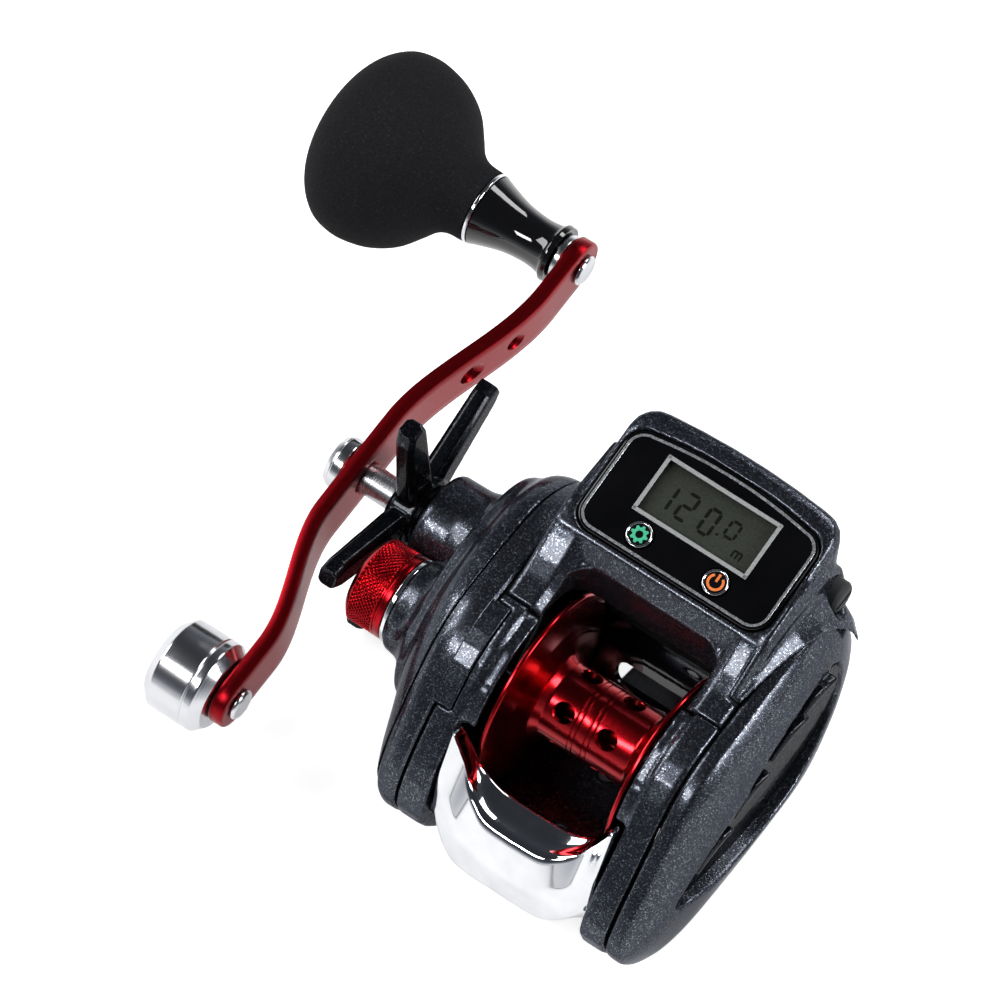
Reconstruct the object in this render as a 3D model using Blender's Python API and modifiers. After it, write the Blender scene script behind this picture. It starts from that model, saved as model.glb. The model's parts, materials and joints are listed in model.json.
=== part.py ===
"""Low-profile baitcasting reel with a line counter display.

Axes: +X is the palm side, -X the handle side, +Y the way the line leaves, +Z up.
The origin is the middle of the reel foot's underside. Lengths are in metres.
Outlines and profiles are written about the axis that carries them: the spool
axis for the body, the drive axis for the handle side, the knob axis for the knob.
"""
import math

import bmesh
import bpy
from mathutils import Matrix, Vector

# Fits and modelling
SEAT_GAP = 0.0003
FIT_GAP = 0.0002
OVERRUN = 0.002
MERGE_DISTANCE = 0.000002
SIDES = 20
FINE_SIDES = 30
SMALL_SIDES = 12
HOLE_SIDES = 8
EDGE_ANGLE = math.radians(32)

# Spool, measured over the line winding space
SPOOL_AXIS_SETBACK = 0.0050
SPOOL_RADIUS_SHARE = 0.55
SPOOL_LIP = 0.0008
DRUM_RADIUS = 0.0064
DRUM_INSET = 0.0041
DRUM_WALL = 0.0009
HUB_RADIUS = 0.0024
SPOOL_HOLE_RADIUS = 0.00165
SPOOL_HOLE_SPACING = 0.0079
SPOOL_HOLE_ROWS = 5
SPOOL_HOLE_ANGLE = math.radians(128)
SPOOL_HOLE_CENTRE = -0.00085
SHAFT_RADIUS = 0.0011
SHAFT_PALM_REACH = 0.0027
SHAFT_PIN_RADIUS = 0.0005
SHAFT_PIN_REACH = 0.0018

# Frame
RING_GAP = 0.0030
RING_WIDTH = 0.0047
RING_SHOULDER = 0.0010
RING_BORE_CLEARANCE = 0.0006
RING_EDGE = 0.0004
RING_WEB = 0.0014
LIP_THICKNESS = 0.0011
LIP_WIDTH = 0.0022
LIP_REAR_SHARE = 0.73
FLOOR_THICKNESS = 0.0015
FLOOR_REAR = 0.0130
FLOOR_FRONT = 0.0080
REAR_BAR_SHARES = (-0.60, -0.845)
REAR_BAR_RADIUS = 0.0011
FRONT_BAR_OFFSET = (-0.0012, -0.0063)
FRONT_BAR_RADIUS = 0.0020
PLATE_REACH = 0.0300
PLATE_RISE_SHARE = 0.66667
COVER_SEAM_SHARES = (0.055, 0.45)

# Side plates: shares of the plate's reach forward and rise, from the spool axis
GEAR_OUTLINE_SHARES = (
    (1.07, -0.15), (1.01, 0.25), (0.86, 0.61), (0.60, 0.88), (0.27, 0.945), (0.08, 0.95),
    (-0.117, 0.93), (-0.317, 0.815), (-0.51, 0.56), (-0.683, 0.29), (-0.830, 0.0), (-0.893, -0.28),
    (-0.82, -0.62), (-0.65, -0.90), (-0.30, -0.985), (0.30, -0.995), (0.72, -0.955), (0.985, -0.67))
PLATEAU_SHARES = (
    (0.935, -0.15), (0.90, 0.20), (0.765, 0.52), (0.55, 0.70), (0.267, 0.725), (0.10, 0.67),
    (-0.05, 0.58), (-0.183, 0.44), (-0.30, 0.25), (-0.35, 0.075), (-0.37, -0.10), (-0.36, -0.275),
    (-0.31, -0.475), (-0.19, -0.65), (0.067, -0.78), (0.383, -0.84), (0.667, -0.79), (0.867, -0.525))
PALM_OUTLINE_SHARES = (
    (1.085, -0.02), (1.085, 0.28), (1.025, 0.58), (0.885, 0.84), (0.66, 1.005), (0.35, 1.01),
    (0.08, 0.955), (-0.117, 0.93), (-0.317, 0.815), (-0.51, 0.56), (-0.68, 0.28), (-0.85, -0.01),
    (-0.943, -0.28), (-0.863, -0.62), (-0.68, -0.90), (-0.30, -0.975), (0.30, -0.975), (0.71, -0.88),
    (0.96, -0.48))
OUTLINE_STEPS = 2

# Gear side plate and cover
BAND_WIDTH = 0.0044
BAND_WALL = 0.0012
BAND_SHARES = ((0.45, 0.0, 0.0), (0.78, 0.01, 0.05), (1.0, 0.05, 0.14))
WEB_THICKNESS = 0.0015
COVER_DEPTH = 0.0068
COVER_WALL = 0.0011
COVER_EDGE = 0.0007
SLOPE_SHARES = ((0.26, 0.12, 0.38), (0.50, 0.32, 0.66), (0.70, 0.72, 0.92), (0.92, 0.93, 0.98), (1.0, 1.06, 1.06))
TAIL_START_SHARE = 0.30
TAIL_LENGTH_SHARE = 1.10
KEY_WIDTH = 0.0037
KEY_REACH = 0.0008
KEY_REAR_SHARE = -0.5267
KEY_FRONT_SHARE = -0.0067
KEY_DEPTH = 0.0012
COVER_SCREW_RADIUS = 0.0014
COVER_SCREW_SHARES = ((0.52, 0.52), (0.06, -0.58))

# Drive axis and gear train
DRIVE_ANGLE = math.radians(-14.5)
GEAR_MODULES_IN_REACH = 60
DRIVE_TEETH = 54
PINION_TEETH = 10
WIND_DRIVE_TEETH = 27
WORM_TEETH = 14
WORM_ANGLE = math.radians(-24.8)
PRESSURE_ANGLE = math.radians(25)
ADDENDUM_SHARE = 0.80
DEDENDUM_SHARE = 1.15
TOOTH_SHARE = 0.42
DRIVE_GEAR_WIDTH = 0.0024
WIND_GEAR_WIDTH = 0.0013
PINION_TOOTH_WIDTH = 0.0042
PINION_GROOVE_WIDTH = 0.0012
PINION_GROOVE_RADIUS = 0.0017
PINION_END_RADIUS = 0.0021
PINION_END_WIDTH = 0.0020
DRIVE_SHAFT_RADIUS = 0.0026
DRIVE_JOURNAL_RADIUS = 0.0015
DRIVE_STEP_RADIUS_SHARE = 0.12
WASHER_RADIUS_SHARE = 0.34
WASHER_THICKNESS = 0.0007
BUSH_RADIUS = 0.0029

# Bosses on the gear cover
DRIVE_BOSS_RADIUS_SHARE = 0.28
DRIVE_BOSS_ROOT_RADIUS_SHARE = 0.415
DRIVE_BOSS_FLARE_SHARES = (0.55, 0.25)
DRIVE_BOSS_LENGTH = 0.0114
BOSS_WALL_SHARE = 0.0633
CLUTCH_LENGTH = 0.0060
CAP_BOSS_RADIUS_SHARE = 0.2667
CAP_BOSS_LENGTH = 0.0044
CAP_RING_WIDTH = 0.0007
CAP_RING_RADIUS_SHARE = 0.2433
THREAD_RADIUS_SHARE = 0.18667
THREAD_LENGTH = 0.0058
CAP_RADIUS_SHARE = 0.24
CAP_LENGTH = 0.0071
CAP_WALL = 0.0011
CAP_CHAMFER = 0.0009
SHIM_THICKNESS = 0.0006
BEARING_WIDTH = 0.0025
BEARING_RADIUS = 0.0042

# Star and handle
STAR_HUB_RADIUS = 0.0060
STAR_HUB_WIDTH = 0.0054
STAR_ARMS = 5
STAR_FIRST_ANGLE = math.radians(15.9)
STAR_REACH = 0.0225
STAR_ARM_WIDTH = 0.0062
STAR_TIP_WIDTH = 0.0048
STAR_ARM_THICKNESS = 0.0038
STAR_TIP_SET = 0.0012
SPRING_WASHER_THICKNESS = 0.0005
ARM_ANGLE = math.radians(3.95)
ARM_THICKNESS = 0.0026
ARM_HUB_WIDTH = 0.0100
ARM_END_WIDTH = 0.0090
ARM_STAR_GAP = 0.0064
ARM_FLAT = 0.0090
KNOB_BEND_END = 0.0400
WEIGHT_BEND_END = 0.0330
KNOB_ARM_LENGTH = 0.0480
WEIGHT_ARM_LENGTH = 0.0420
KNOB_ARM_SET = 0.0064
WEIGHT_ARM_SET = 0.0062
ARM_HOLES = ((0.0230, 0.0016), (0.0315, 0.0013))
NUT_RADIUS = 0.0045
NUT_LENGTH = 0.0034
PIN_RADIUS = 0.0015
PIN_HEAD_RADIUS = 0.0026
PIN_HEAD_THICKNESS = 0.0010
WEIGHT_RADIUS = 0.00775
WEIGHT_LENGTH = 0.0107
WEIGHT_CHAMFER = 0.0016

# Knob, from the arm outwards
KNOB_BEARING_RADIUS = 0.0040
KNOB_BEARING_WIDTH = 0.0012
COLLAR_LENGTH = 0.0138
COLLAR_RADIUS = 0.0060
COLLAR_SHARES = ((0.0, 0.80), (0.07, 0.82), (0.12, 0.72), (0.32, 0.66), (0.60, 0.72), (0.85, 0.88), (1.0, 1.0))
KNOB_RING_WIDTH = 0.0006
GRIP_LENGTH = 0.0286
GRIP_RADIUS = 0.0160
GRIP_SHARES = (
    (0.0, 0.385), (0.10, 0.40), (0.17, 0.47), (0.24, 0.62), (0.33, 0.80), (0.45, 0.93), (0.57, 0.99),
    (0.67, 1.0), (0.78, 0.95), (0.88, 0.80), (0.95, 0.58), (0.99, 0.30))

# Clutch
THUMB_BAR_CLEARANCE = 0.0004
THUMB_EDGE_SHARES = (-0.5933, 0.0267)
THUMB_RIDGE_SHARES = (-0.81, 0.02)
THUMB_HEEL_SHARES = (-0.9467, -0.3733)
THUMB_TOE_SHARES = (-0.8067, -0.42)
THUMB_INNER_SHARES = (-0.62, -0.1667)
THUMB_SIDE_RISE_SHARE = 0.333
THUMB_SIDE_FORWARD_SHARE = 0.18
THUMB_HEEL_RISE_SHARE = 0.207
THUMB_HEEL_FORWARD_SHARE = 0.12
THUMB_DIP_SHARE = 0.03
THUMB_SHARES = (
    (0.0, 0.0, 0.0, 0.0), (0.36, 0.05, 0.02, 0.0), (0.57, 0.34, 0.08, 0.06), (0.72, 0.62, 0.21, 0.25),
    (0.83, 0.86, 0.46, 0.50), (0.93, 0.96, 0.76, 0.78), (1.0, 1.0, 1.0, 1.0))
YOKE_THICKNESS = 0.0007
YOKE_LENGTH = 0.0230
YOKE_WIDTH = 0.0062
POST_RADIUS = 0.0008
POST_SPACING = 0.0180
POST_SETBACK = -0.0012
POST_REACH = 0.0024
SPRING_WIRE_RADIUS = 0.00025
SPRING_TURNS = 3
SPRING_TURN_STEPS = 6

# Level wind
WORM_RADIUS = 0.0021
WORM_JOURNAL_RADIUS = 0.0013
WORM_GROOVE_DEPTH = 0.0005
WORM_GROOVE_PITCH = 0.0062
WORM_GROOVE_WIDTH_SHARE = 0.14
WORM_END_GAP = 0.0007
WORM_ROUND_STEPS = 10
WORM_LONG_STEPS = 20
RAIL_OFFSET = (0.0042, 0.0012)
RAIL_RADIUS = 0.0009
GUIDE_WIDTH = 0.0056
GUIDE_WALL = 0.0013
GUIDE_HEAD_HEIGHT = 0.0110
GUIDE_HEAD_DEPTH = 0.0026
EYE_RADIUS = 0.0019
EYE_WALL = 0.0006
SHIELD_THICKNESS = 0.0013
SHIELD_LOW_ANGLE = math.radians(-64)
SHIELD_HIGH_ANGLE = math.radians(-3)
SHIELD_SLOT_LOW = math.radians(-43)
SHIELD_SLOT_HIGH = math.radians(-31)
SHIELD_SLOT_LEFT = -0.0075
SHIELD_SLOT_RIGHT = 0.0112

# Display housing
FACE_CENTRE_SHARES = (0.8067, 1.34)
FACE_SLOPE = math.radians(12)
HOUSING_HALF_WIDTH = 0.0189
HOUSING_REAR_SHARE = 0.35
HOUSING_FRONT_SHARE = 0.4333
HOUSING_CORNER = 0.0045
HOUSING_ARCH = 0.0008
HOUSING_BOTTOM_SHARE = 0.575
HOUSING_WALL = 0.0030
HOUSING_ROUND = 0.0018
BROW_SHARES = (0.40, 1.05)
OPENING_SETBACK = 0.0018
ARM_BEVEL = 0.0013
OPENING_CORNER = 0.0036
OPENING_FALL_SHARE = 0.44
OPENING_CORNER_STEPS = 5
ARM_SHARES = (
    (0.065, 0.945), (0.200, 0.990), (0.300, 1.055), (0.400, 1.145), (0.483, 1.230),
    (0.600, 1.260), (1.000, 1.250), (1.067, 0.900), (0.950, 0.465), (0.065, 0.465))
SKIRT_FIRST_POINT = 3
SKIRT_REACH = 0.0064
SKIRT_LIP = 0.0004
SKIRT_FALL = 0.0018
SKIRT_RISE = 0.0086
SKIRT_SHARES = (
    (1.0, 0.38), (0.94, 0.62), (0.86, 0.84), (0.78, 1.0), (0.70, 0.96), (0.605, 0.74), (0.447, 0.52),
    (0.328, 0.30), (0.210, 0.14))
GLASS_THICKNESS = 0.0010
GLASS_BORDER = 0.0014
GLASS_REAR_BORDER = 0.0010
GLASS_FRONT_BORDER = 0.0042
GLASS_CORNER = 0.0035
GLASS_ARCH = 0.0012
BAY_CEILING = 0.0024
LCD_WIDTH = 0.0208
LCD_LENGTH_SHARE = 0.3333
LCD_THICKNESS = 0.0021
LCD_FORWARD_SHARE = 0.07
BOARD_BORDER = 0.0041
BOARD_END_GAP = 0.0037
BOARD_THICKNESS = 0.0010
BOARD_DEPTH = 0.0038
BUTTON_SPACING = 0.0140
BUTTON_SETBACK_SHARE = 0.1933
BUTTON_RADIUS = 0.0021
BUTTON_HEAD = 0.0008
BUTTON_PROUD = 0.0003
BUTTON_STEM_RADIUS = 0.0011
BUTTON_STEM = 0.0026
BATTERY_WIDTH = 0.0200
BATTERY_END_GAP = 0.0035
BATTERY_HEIGHT_SHARE = 0.1667
BASE_THICKNESS = 0.0012
CAP_PLACE_SHARES = (1.04, 0.865)
CAP_DISC_RADIUS = 0.0027
CAP_DISC_PROUD = 0.0031
CAP_DISC_EDGE = 0.0007
CAP_SLOT = (0.0009, 0.0021, 0.0006)

# Palm side
PALM_BAND = 0.0025
PALM_DEPTH = 0.0080
PALM_WALL = 0.0019
PALM_HOLLOW_DEPTH = 0.0034
PALM_DOME_SHARES = ((0.42, 0.955), (0.56, 0.88), (0.70, 0.75), (0.83, 0.54), (0.94, 0.30), (1.0, 0.11))
PALM_DOME_CENTRE_SHARE = (0.02, 0.02)
RECESS_FLOOR = 0.0043
RECESS_SHARES = (
    (0.81, 0.54), (0.59, 0.65), (0.27, 0.60), (-0.13, 0.38), (-0.40, 0.16), (-0.60, -0.10), (-0.42, -0.24),
    (-0.14, -0.38), (0.14, -0.45), (0.42, -0.42), (0.66, -0.26), (0.82, 0.00), (0.87, 0.30))
GRILLE_THICKNESS = 0.0005
FIN_LENGTH = 0.0088
FIN_WIDTH = 0.0022
FIN_HEIGHT = 0.0022
FIN_SHARES = ((0.61, 0.49, 11.0), (0.37, 0.405, 19.0), (0.04, 0.26, 24.0), (-0.28, 0.10, 25.0))
BRAKE_PLATE_CLEARANCE = 0.0021
BRAKE_PLATE_THICKNESS = 0.0014
MAGNET_OUTER_RADIUS = 0.0112
MAGNET_INNER_RADIUS = 0.0086
MAGNET_WIDTH = 0.0036

# Reel foot
FOOT_HALF_LENGTH = 0.0290
FOOT_HALF_WIDTH = 0.0092
FOOT_THICKNESS = 0.0016
FOOT_SEAT_GAP = 0.0002
FOOT_TIP_WIDTH_SHARE = 0.52
FOOT_TIP_THICKNESS_SHARE = 0.45
FOOT_SCREW_RADIUS = 0.0013
FOOT_SCREW_HEAD_RADIUS = 0.0022
FOOT_SCREW_HEAD = 0.0008
FOOT_SCREW_PLACES = (-0.0120, 0.0010)

# Sizes and places that follow from the ones above
PLATE_RISE = PLATE_RISE_SHARE * PLATE_REACH
SPOOL_RADIUS = SPOOL_RADIUS_SHARE * PLATE_REACH
THUMB_SIDE_RISE = THUMB_SIDE_RISE_SHARE * PLATE_REACH
THUMB_SIDE_FORWARD = THUMB_SIDE_FORWARD_SHARE * PLATE_REACH
THUMB_HEEL_RISE = THUMB_HEEL_RISE_SHARE * PLATE_REACH
THUMB_HEEL_FORWARD = THUMB_HEEL_FORWARD_SHARE * PLATE_REACH
THUMB_DIP = THUMB_DIP_SHARE * PLATE_REACH
HOUSING_REAR = HOUSING_REAR_SHARE * PLATE_REACH
HOUSING_FRONT = HOUSING_FRONT_SHARE * PLATE_REACH
LCD_LENGTH = LCD_LENGTH_SHARE * PLATE_REACH
LCD_FORWARD = LCD_FORWARD_SHARE * PLATE_REACH
BUTTON_SETBACK = BUTTON_SETBACK_SHARE * PLATE_REACH
BATTERY_HEIGHT = BATTERY_HEIGHT_SHARE * PLATE_REACH
KEY_REAR = KEY_REAR_SHARE * PLATE_REACH
KEY_FRONT = KEY_FRONT_SHARE * PLATE_REACH
CAP_RADIUS = CAP_RADIUS_SHARE * PLATE_REACH
CAP_BOSS_RADIUS = CAP_BOSS_RADIUS_SHARE * PLATE_REACH
CAP_RING_RADIUS = CAP_RING_RADIUS_SHARE * PLATE_REACH
THREAD_RADIUS = THREAD_RADIUS_SHARE * PLATE_REACH
DRIVE_BOSS_RADIUS = DRIVE_BOSS_RADIUS_SHARE * PLATE_REACH
DRIVE_STEP_RADIUS = DRIVE_STEP_RADIUS_SHARE * PLATE_REACH
BOSS_WALL = BOSS_WALL_SHARE * PLATE_REACH
DRIVE_BOSS_ROOT_RADIUS = DRIVE_BOSS_ROOT_RADIUS_SHARE * PLATE_REACH
WASHER_RADIUS = WASHER_RADIUS_SHARE * PLATE_REACH
THUMB_EDGE = (THUMB_EDGE_SHARES[0] * PLATE_REACH, THUMB_EDGE_SHARES[1] * PLATE_REACH)
THUMB_RIDGE = (THUMB_RIDGE_SHARES[0] * PLATE_REACH, THUMB_RIDGE_SHARES[1] * PLATE_REACH)
THUMB_HEEL = (THUMB_HEEL_SHARES[0] * PLATE_REACH, THUMB_HEEL_SHARES[1] * PLATE_REACH)
THUMB_TOE = (THUMB_TOE_SHARES[0] * PLATE_REACH, THUMB_TOE_SHARES[1] * PLATE_REACH)
THUMB_INNER = (THUMB_INNER_SHARES[0] * PLATE_REACH, THUMB_INNER_SHARES[1] * PLATE_REACH)
BOARD_LENGTH = 2 * (HOUSING_REAR - BOARD_END_GAP)
BATTERY_LENGTH = 2 * (HOUSING_REAR - BATTERY_END_GAP)
GLASS_REAR = HOUSING_REAR - GLASS_REAR_BORDER
GLASS_FRONT = HOUSING_FRONT - GLASS_FRONT_BORDER
RING_BORE = SPOOL_RADIUS + RING_BORE_CLEARANCE
FLOOR_TOP = -(RING_BORE + RING_BORE_CLEARANCE / 6)
FLOOR_BOTTOM = FLOOR_TOP - FLOOR_THICKNESS
SPOOL_AXIS_HEIGHT = FOOT_THICKNESS + FOOT_SEAT_GAP - FLOOR_BOTTOM
BRAKE_PLATE_RADIUS = RING_BORE - BRAKE_PLATE_CLEARANCE
SPOOL_AT = Vector((0.0, -SPOOL_AXIS_SETBACK, SPOOL_AXIS_HEIGHT))
GEAR_MODULE = PLATE_REACH / GEAR_MODULES_IN_REACH
DRIVE_DISTANCE = GEAR_MODULE * (DRIVE_TEETH + PINION_TEETH) / 2
DRIVE_AT = SPOOL_AT + DRIVE_DISTANCE * Vector((0.0, math.cos(DRIVE_ANGLE), math.sin(DRIVE_ANGLE)))
WORM_DISTANCE = GEAR_MODULE * (WIND_DRIVE_TEETH + WORM_TEETH) / 2
WORM_AT = DRIVE_AT + WORM_DISTANCE * Vector((0.0, math.cos(WORM_ANGLE), math.sin(WORM_ANGLE)))
RAIL_AT = WORM_AT + Vector((0.0, RAIL_OFFSET[0], RAIL_OFFSET[1]))
FRONT_BAR_PLACE = (WORM_AT.y - SPOOL_AT.y + FRONT_BAR_OFFSET[0], WORM_AT.z - SPOOL_AT.z + FRONT_BAR_OFFSET[1])
ARM_ALONG = Vector((0.0, math.cos(ARM_ANGLE), math.sin(ARM_ANGLE)))
KNOB_AT = DRIVE_AT + KNOB_ARM_LENGTH * ARM_ALONG
WEIGHT_AT = DRIVE_AT - WEIGHT_ARM_LENGTH * ARM_ALONG

RING_OUT = HOUSING_HALF_WIDTH + RING_SHOULDER
RING_IN = RING_OUT - RING_WIDTH
SPOOL_WIDTH = 2 * (RING_IN - RING_GAP)
DRUM_WIDTH = SPOOL_WIDTH - 2 * DRUM_INSET
OPENING_HALF_WIDTH = RING_IN - OPENING_SETBACK
THUMB_BAR_HALF_WIDTH = RING_IN - THUMB_BAR_CLEARANCE
WORM_LENGTH = 2 * (RING_IN - WORM_END_GAP)
SHAFT_PALM_END = RING_OUT + SHAFT_PALM_REACH
GLASS_HALF_WIDTH = HOUSING_HALF_WIDTH - GLASS_BORDER
BOARD_WIDTH = 2 * (HOUSING_HALF_WIDTH - BOARD_BORDER)
CAP_DISC_END = HOUSING_HALF_WIDTH + CAP_DISC_PROUD
FACE_CENTRE = (FACE_CENTRE_SHARES[0] * PLATE_REACH, FACE_CENTRE_SHARES[1] * PLATE_RISE)
HOUSING_BOTTOM = HOUSING_BOTTOM_SHARE * PLATE_RISE
BROW_REAR = BROW_SHARES[0] * PLATE_REACH
BROW_TOP = BROW_SHARES[1] * PLATE_RISE
BAND_IN = -(RING_OUT + SEAT_GAP)
WEB_OUT = BAND_IN - WEB_THICKNESS
BAND_OUT = BAND_IN - BAND_WIDTH
COVER_IN = BAND_OUT - SEAT_GAP
COVER_OUT = COVER_IN - COVER_DEPTH
WIND_GEAR_IN = WEB_OUT - SEAT_GAP - FIT_GAP
WIND_GEAR_OUT = WIND_GEAR_IN - WIND_GEAR_WIDTH
DRIVE_GEAR_IN = WIND_GEAR_OUT - SEAT_GAP
DRIVE_GEAR_OUT = DRIVE_GEAR_IN - DRIVE_GEAR_WIDTH
DRAG_PLATE_OUT = DRIVE_GEAR_OUT - 2 * WASHER_THICKNESS - FIT_GAP
DRIVE_BOSS_END = COVER_OUT - DRIVE_BOSS_LENGTH
CAP_BOSS_END = COVER_OUT - CAP_BOSS_LENGTH
CAP_RING_END = CAP_BOSS_END - FIT_GAP - CAP_RING_WIDTH
CAP_IN = CAP_RING_END - FIT_GAP
CAP_OUT = CAP_IN - CAP_LENGTH
THREAD_END = CAP_BOSS_END - THREAD_LENGTH
SHAFT_CAP_END = CAP_OUT + CAP_WALL + 2 * FIT_GAP + SHIM_THICKNESS
SPRING_WASHER_OUT = DRIVE_BOSS_END - FIT_GAP - SPRING_WASHER_THICKNESS
STAR_IN = SPRING_WASHER_OUT - FIT_GAP
STAR_OUT = STAR_IN - STAR_HUB_WIDTH
ARM_IN = STAR_OUT - ARM_STAR_GAP
ARM_OUT = ARM_IN - ARM_THICKNESS
NUT_IN = ARM_OUT - FIT_GAP
NUT_OUT = NUT_IN - NUT_LENGTH
KNOB_ARM_IN = ARM_IN + KNOB_ARM_SET
KNOB_ARM_OUT = KNOB_ARM_IN - ARM_THICKNESS
WEIGHT_ARM_IN = ARM_IN + WEIGHT_ARM_SET
WEIGHT_ARM_OUT = WEIGHT_ARM_IN - ARM_THICKNESS
COLLAR_IN = KNOB_ARM_OUT - FIT_GAP - KNOB_BEARING_WIDTH - FIT_GAP
COLLAR_OUT = COLLAR_IN - COLLAR_LENGTH
GRIP_IN = COLLAR_OUT - 2 * FIT_GAP - KNOB_RING_WIDTH
GRIP_OUT = GRIP_IN - GRIP_LENGTH
PALM_IN = RING_OUT + SEAT_GAP
PALM_OUT = PALM_IN + PALM_DEPTH

PARTS = None
CUTTERS = None


def clear_scene():
    """Remove every object that the file starts with."""
    for thing in list(bpy.data.objects):
        bpy.data.objects.remove(thing)


def make_collections():
    """One collection holds the reel, the other the shapes that cut it."""
    global PARTS, CUTTERS
    PARTS = bpy.data.collections.new("baitcasting_reel")
    CUTTERS = bpy.data.collections.new("cutters")
    for group in (PARTS, CUTTERS):
        bpy.context.scene.collection.children.link(group)


def srgb(value):
    """Linear value of one 8-bit channel."""
    share = value / 255
    return share / 12.92 if share <= 0.04045 else ((share + 0.055) / 1.055) ** 2.4


def finish(name, red, green, blue, roughness, metallic):
    """A Principled material in one plain colour."""
    found = bpy.data.materials.get(name)
    if found:
        return found
    made = bpy.data.materials.new(name)
    made.use_nodes = True
    shader = made.node_tree.nodes["Principled BSDF"]
    shader.inputs["Base Color"].default_value = (srgb(red), srgb(green), srgb(blue), 1.0)
    shader.inputs["Roughness"].default_value = roughness
    shader.inputs["Metallic"].default_value = metallic
    made.diffuse_color = (srgb(red), srgb(green), srgb(blue), 1.0)
    return made


def graphite_paint():
    return finish("graphite_paint", 74, 76, 84, 0.35, 0.55)


def gloss_black():
    return finish("gloss_black_plastic", 12, 12, 14, 0.12, 0.0)


def red_anodised():
    return finish("red_anodised_aluminium", 176, 22, 26, 0.28, 1.0)


def bright_metal():
    return finish("polished_aluminium", 205, 206, 208, 0.22, 1.0)


def chrome():
    return finish("chrome_plate", 226, 226, 228, 0.06, 1.0)


def steel():
    return finish("stainless_steel", 176, 178, 182, 0.30, 1.0)


def brass():
    return finish("machined_brass", 196, 158, 84, 0.32, 1.0)


def foam():
    return finish("black_foam", 34, 33, 33, 0.95, 0.0)


def rubber():
    return finish("black_rubber", 22, 22, 23, 0.75, 0.0)


def carbon():
    return finish("carbon_felt", 40, 40, 42, 0.8, 0.0)


def place(name, mesh, at, material, cutter=False):
    """Put a mesh in the scene as a part of the reel or as a cutter."""
    thing = bpy.data.objects.new(name, mesh)
    thing.location = at
    if cutter:
        thing.hide_render = True
        thing.display_type = "WIRE"
        CUTTERS.objects.link(thing)
    else:
        mesh.materials.append(material)
        PARTS.objects.link(thing)
    return thing


def mesh_of(name, form):
    """Turn a bmesh into a mesh with its faces outwards and its round faces smooth."""
    bmesh.ops.recalc_face_normals(form, faces=form.faces)
    mesh = bpy.data.meshes.new(name)
    form.to_mesh(mesh)
    form.free()
    mesh.shade_smooth()
    mesh.set_sharp_from_angle(angle=EDGE_ANGLE)
    return mesh


def turned(name, profile, at=SPOOL_AT, material=None, sides=SIDES, cutter=False):
    """Turn a profile of (x, radius) about an axis along X.

    A profile that starts and ends on the axis is solid, any other one closes on itself.
    """
    area = sum(a[0] * b[1] - b[0] * a[1] for a, b in zip(profile, profile[1:] + profile[:1]))
    run = list(profile) if area > 0 else list(profile)[::-1]
    mesh = bpy.data.meshes.new(name)
    edges = [(i, i + 1) for i in range(len(run) - 1)]
    if run[0][1] > 0:
        edges.append((len(run) - 1, 0))
    mesh.from_pydata([(x, radius, 0.0) for x, radius in run], edges, [])
    thing = place(name, mesh, at, material, cutter)
    screw = thing.modifiers.new("Turn", "SCREW")
    screw.axis = "X"
    screw.steps = sides
    screw.render_steps = sides
    screw.use_merge_vertices = True
    screw.merge_threshold = MERGE_DISTANCE
    screw.use_normal_calculate = False
    return thing


def loft(name, rings, at=SPOOL_AT, material=None, cutter=False):
    """Skin a row of closed rings that have equal numbers of points, and cap both ends."""
    form = bmesh.new()
    rows = [[form.verts.new(point) for point in ring] for ring in rings]
    count = len(rows[0])
    for low, high in zip(rows, rows[1:]):
        for i in range(count):
            j = (i + 1) % count
            form.faces.new((low[i], low[j], high[j], high[i]))
    form.faces.new(rows[0][::-1])
    form.faces.new(rows[-1])
    return place(name, mesh_of(name, form), at, material, cutter)


def prism(name, outline, low, high, at=SPOOL_AT, material=None, cutter=False):
    """Carry an outline of (y, z) along X from low to high."""
    rings = [[(x, y, z) for y, z in outline] for x in (low, high)]
    return loft(name, rings, at, material, cutter)


def block(name, low, high, at=SPOOL_AT, material=None, cutter=False, rounding=0.0):
    """A box between two corners, its edges rounded if asked."""
    size = [b - a for a, b in zip(low, high)]
    middle = [(a + b) / 2 for a, b in zip(low, high)]
    form = bmesh.new()
    bmesh.ops.create_cube(form, size=1.0, matrix=Matrix.Diagonal((*size, 1.0)))
    bmesh.ops.translate(form, verts=form.verts, vec=middle)
    thing = place(name, mesh_of(name, form), at, material, cutter)
    if rounding:
        bevel = thing.modifiers.new("Edges", "BEVEL")
        bevel.width = rounding
        bevel.segments = 2
    return thing


def rod(name, start, end, radius, at=SPOOL_AT, material=None, sides=SMALL_SIDES, cutter=False):
    """A round rod between two points."""
    start, end = Vector(start), Vector(end)
    along = end - start
    turn = along.to_track_quat("Z", "Y").to_matrix().to_4x4()
    form = bmesh.new()
    bmesh.ops.create_cone(form, cap_ends=True, segments=sides, radius1=radius, radius2=radius,
                          depth=along.length, matrix=Matrix.Translation((start + end) / 2) @ turn)
    return place(name, mesh_of(name, form), at, material, cutter)


def combine(target, others, operation):
    """Apply one Boolean to the target for each other shape."""
    for other in others:
        step = target.modifiers.new(other.name, "BOOLEAN")
        step.operation = operation
        step.object = other
        step.solver = "EXACT"


def cut(target, *others):
    combine(target, others, "DIFFERENCE")


def join(target, *others):
    combine(target, others, "UNION")


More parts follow.
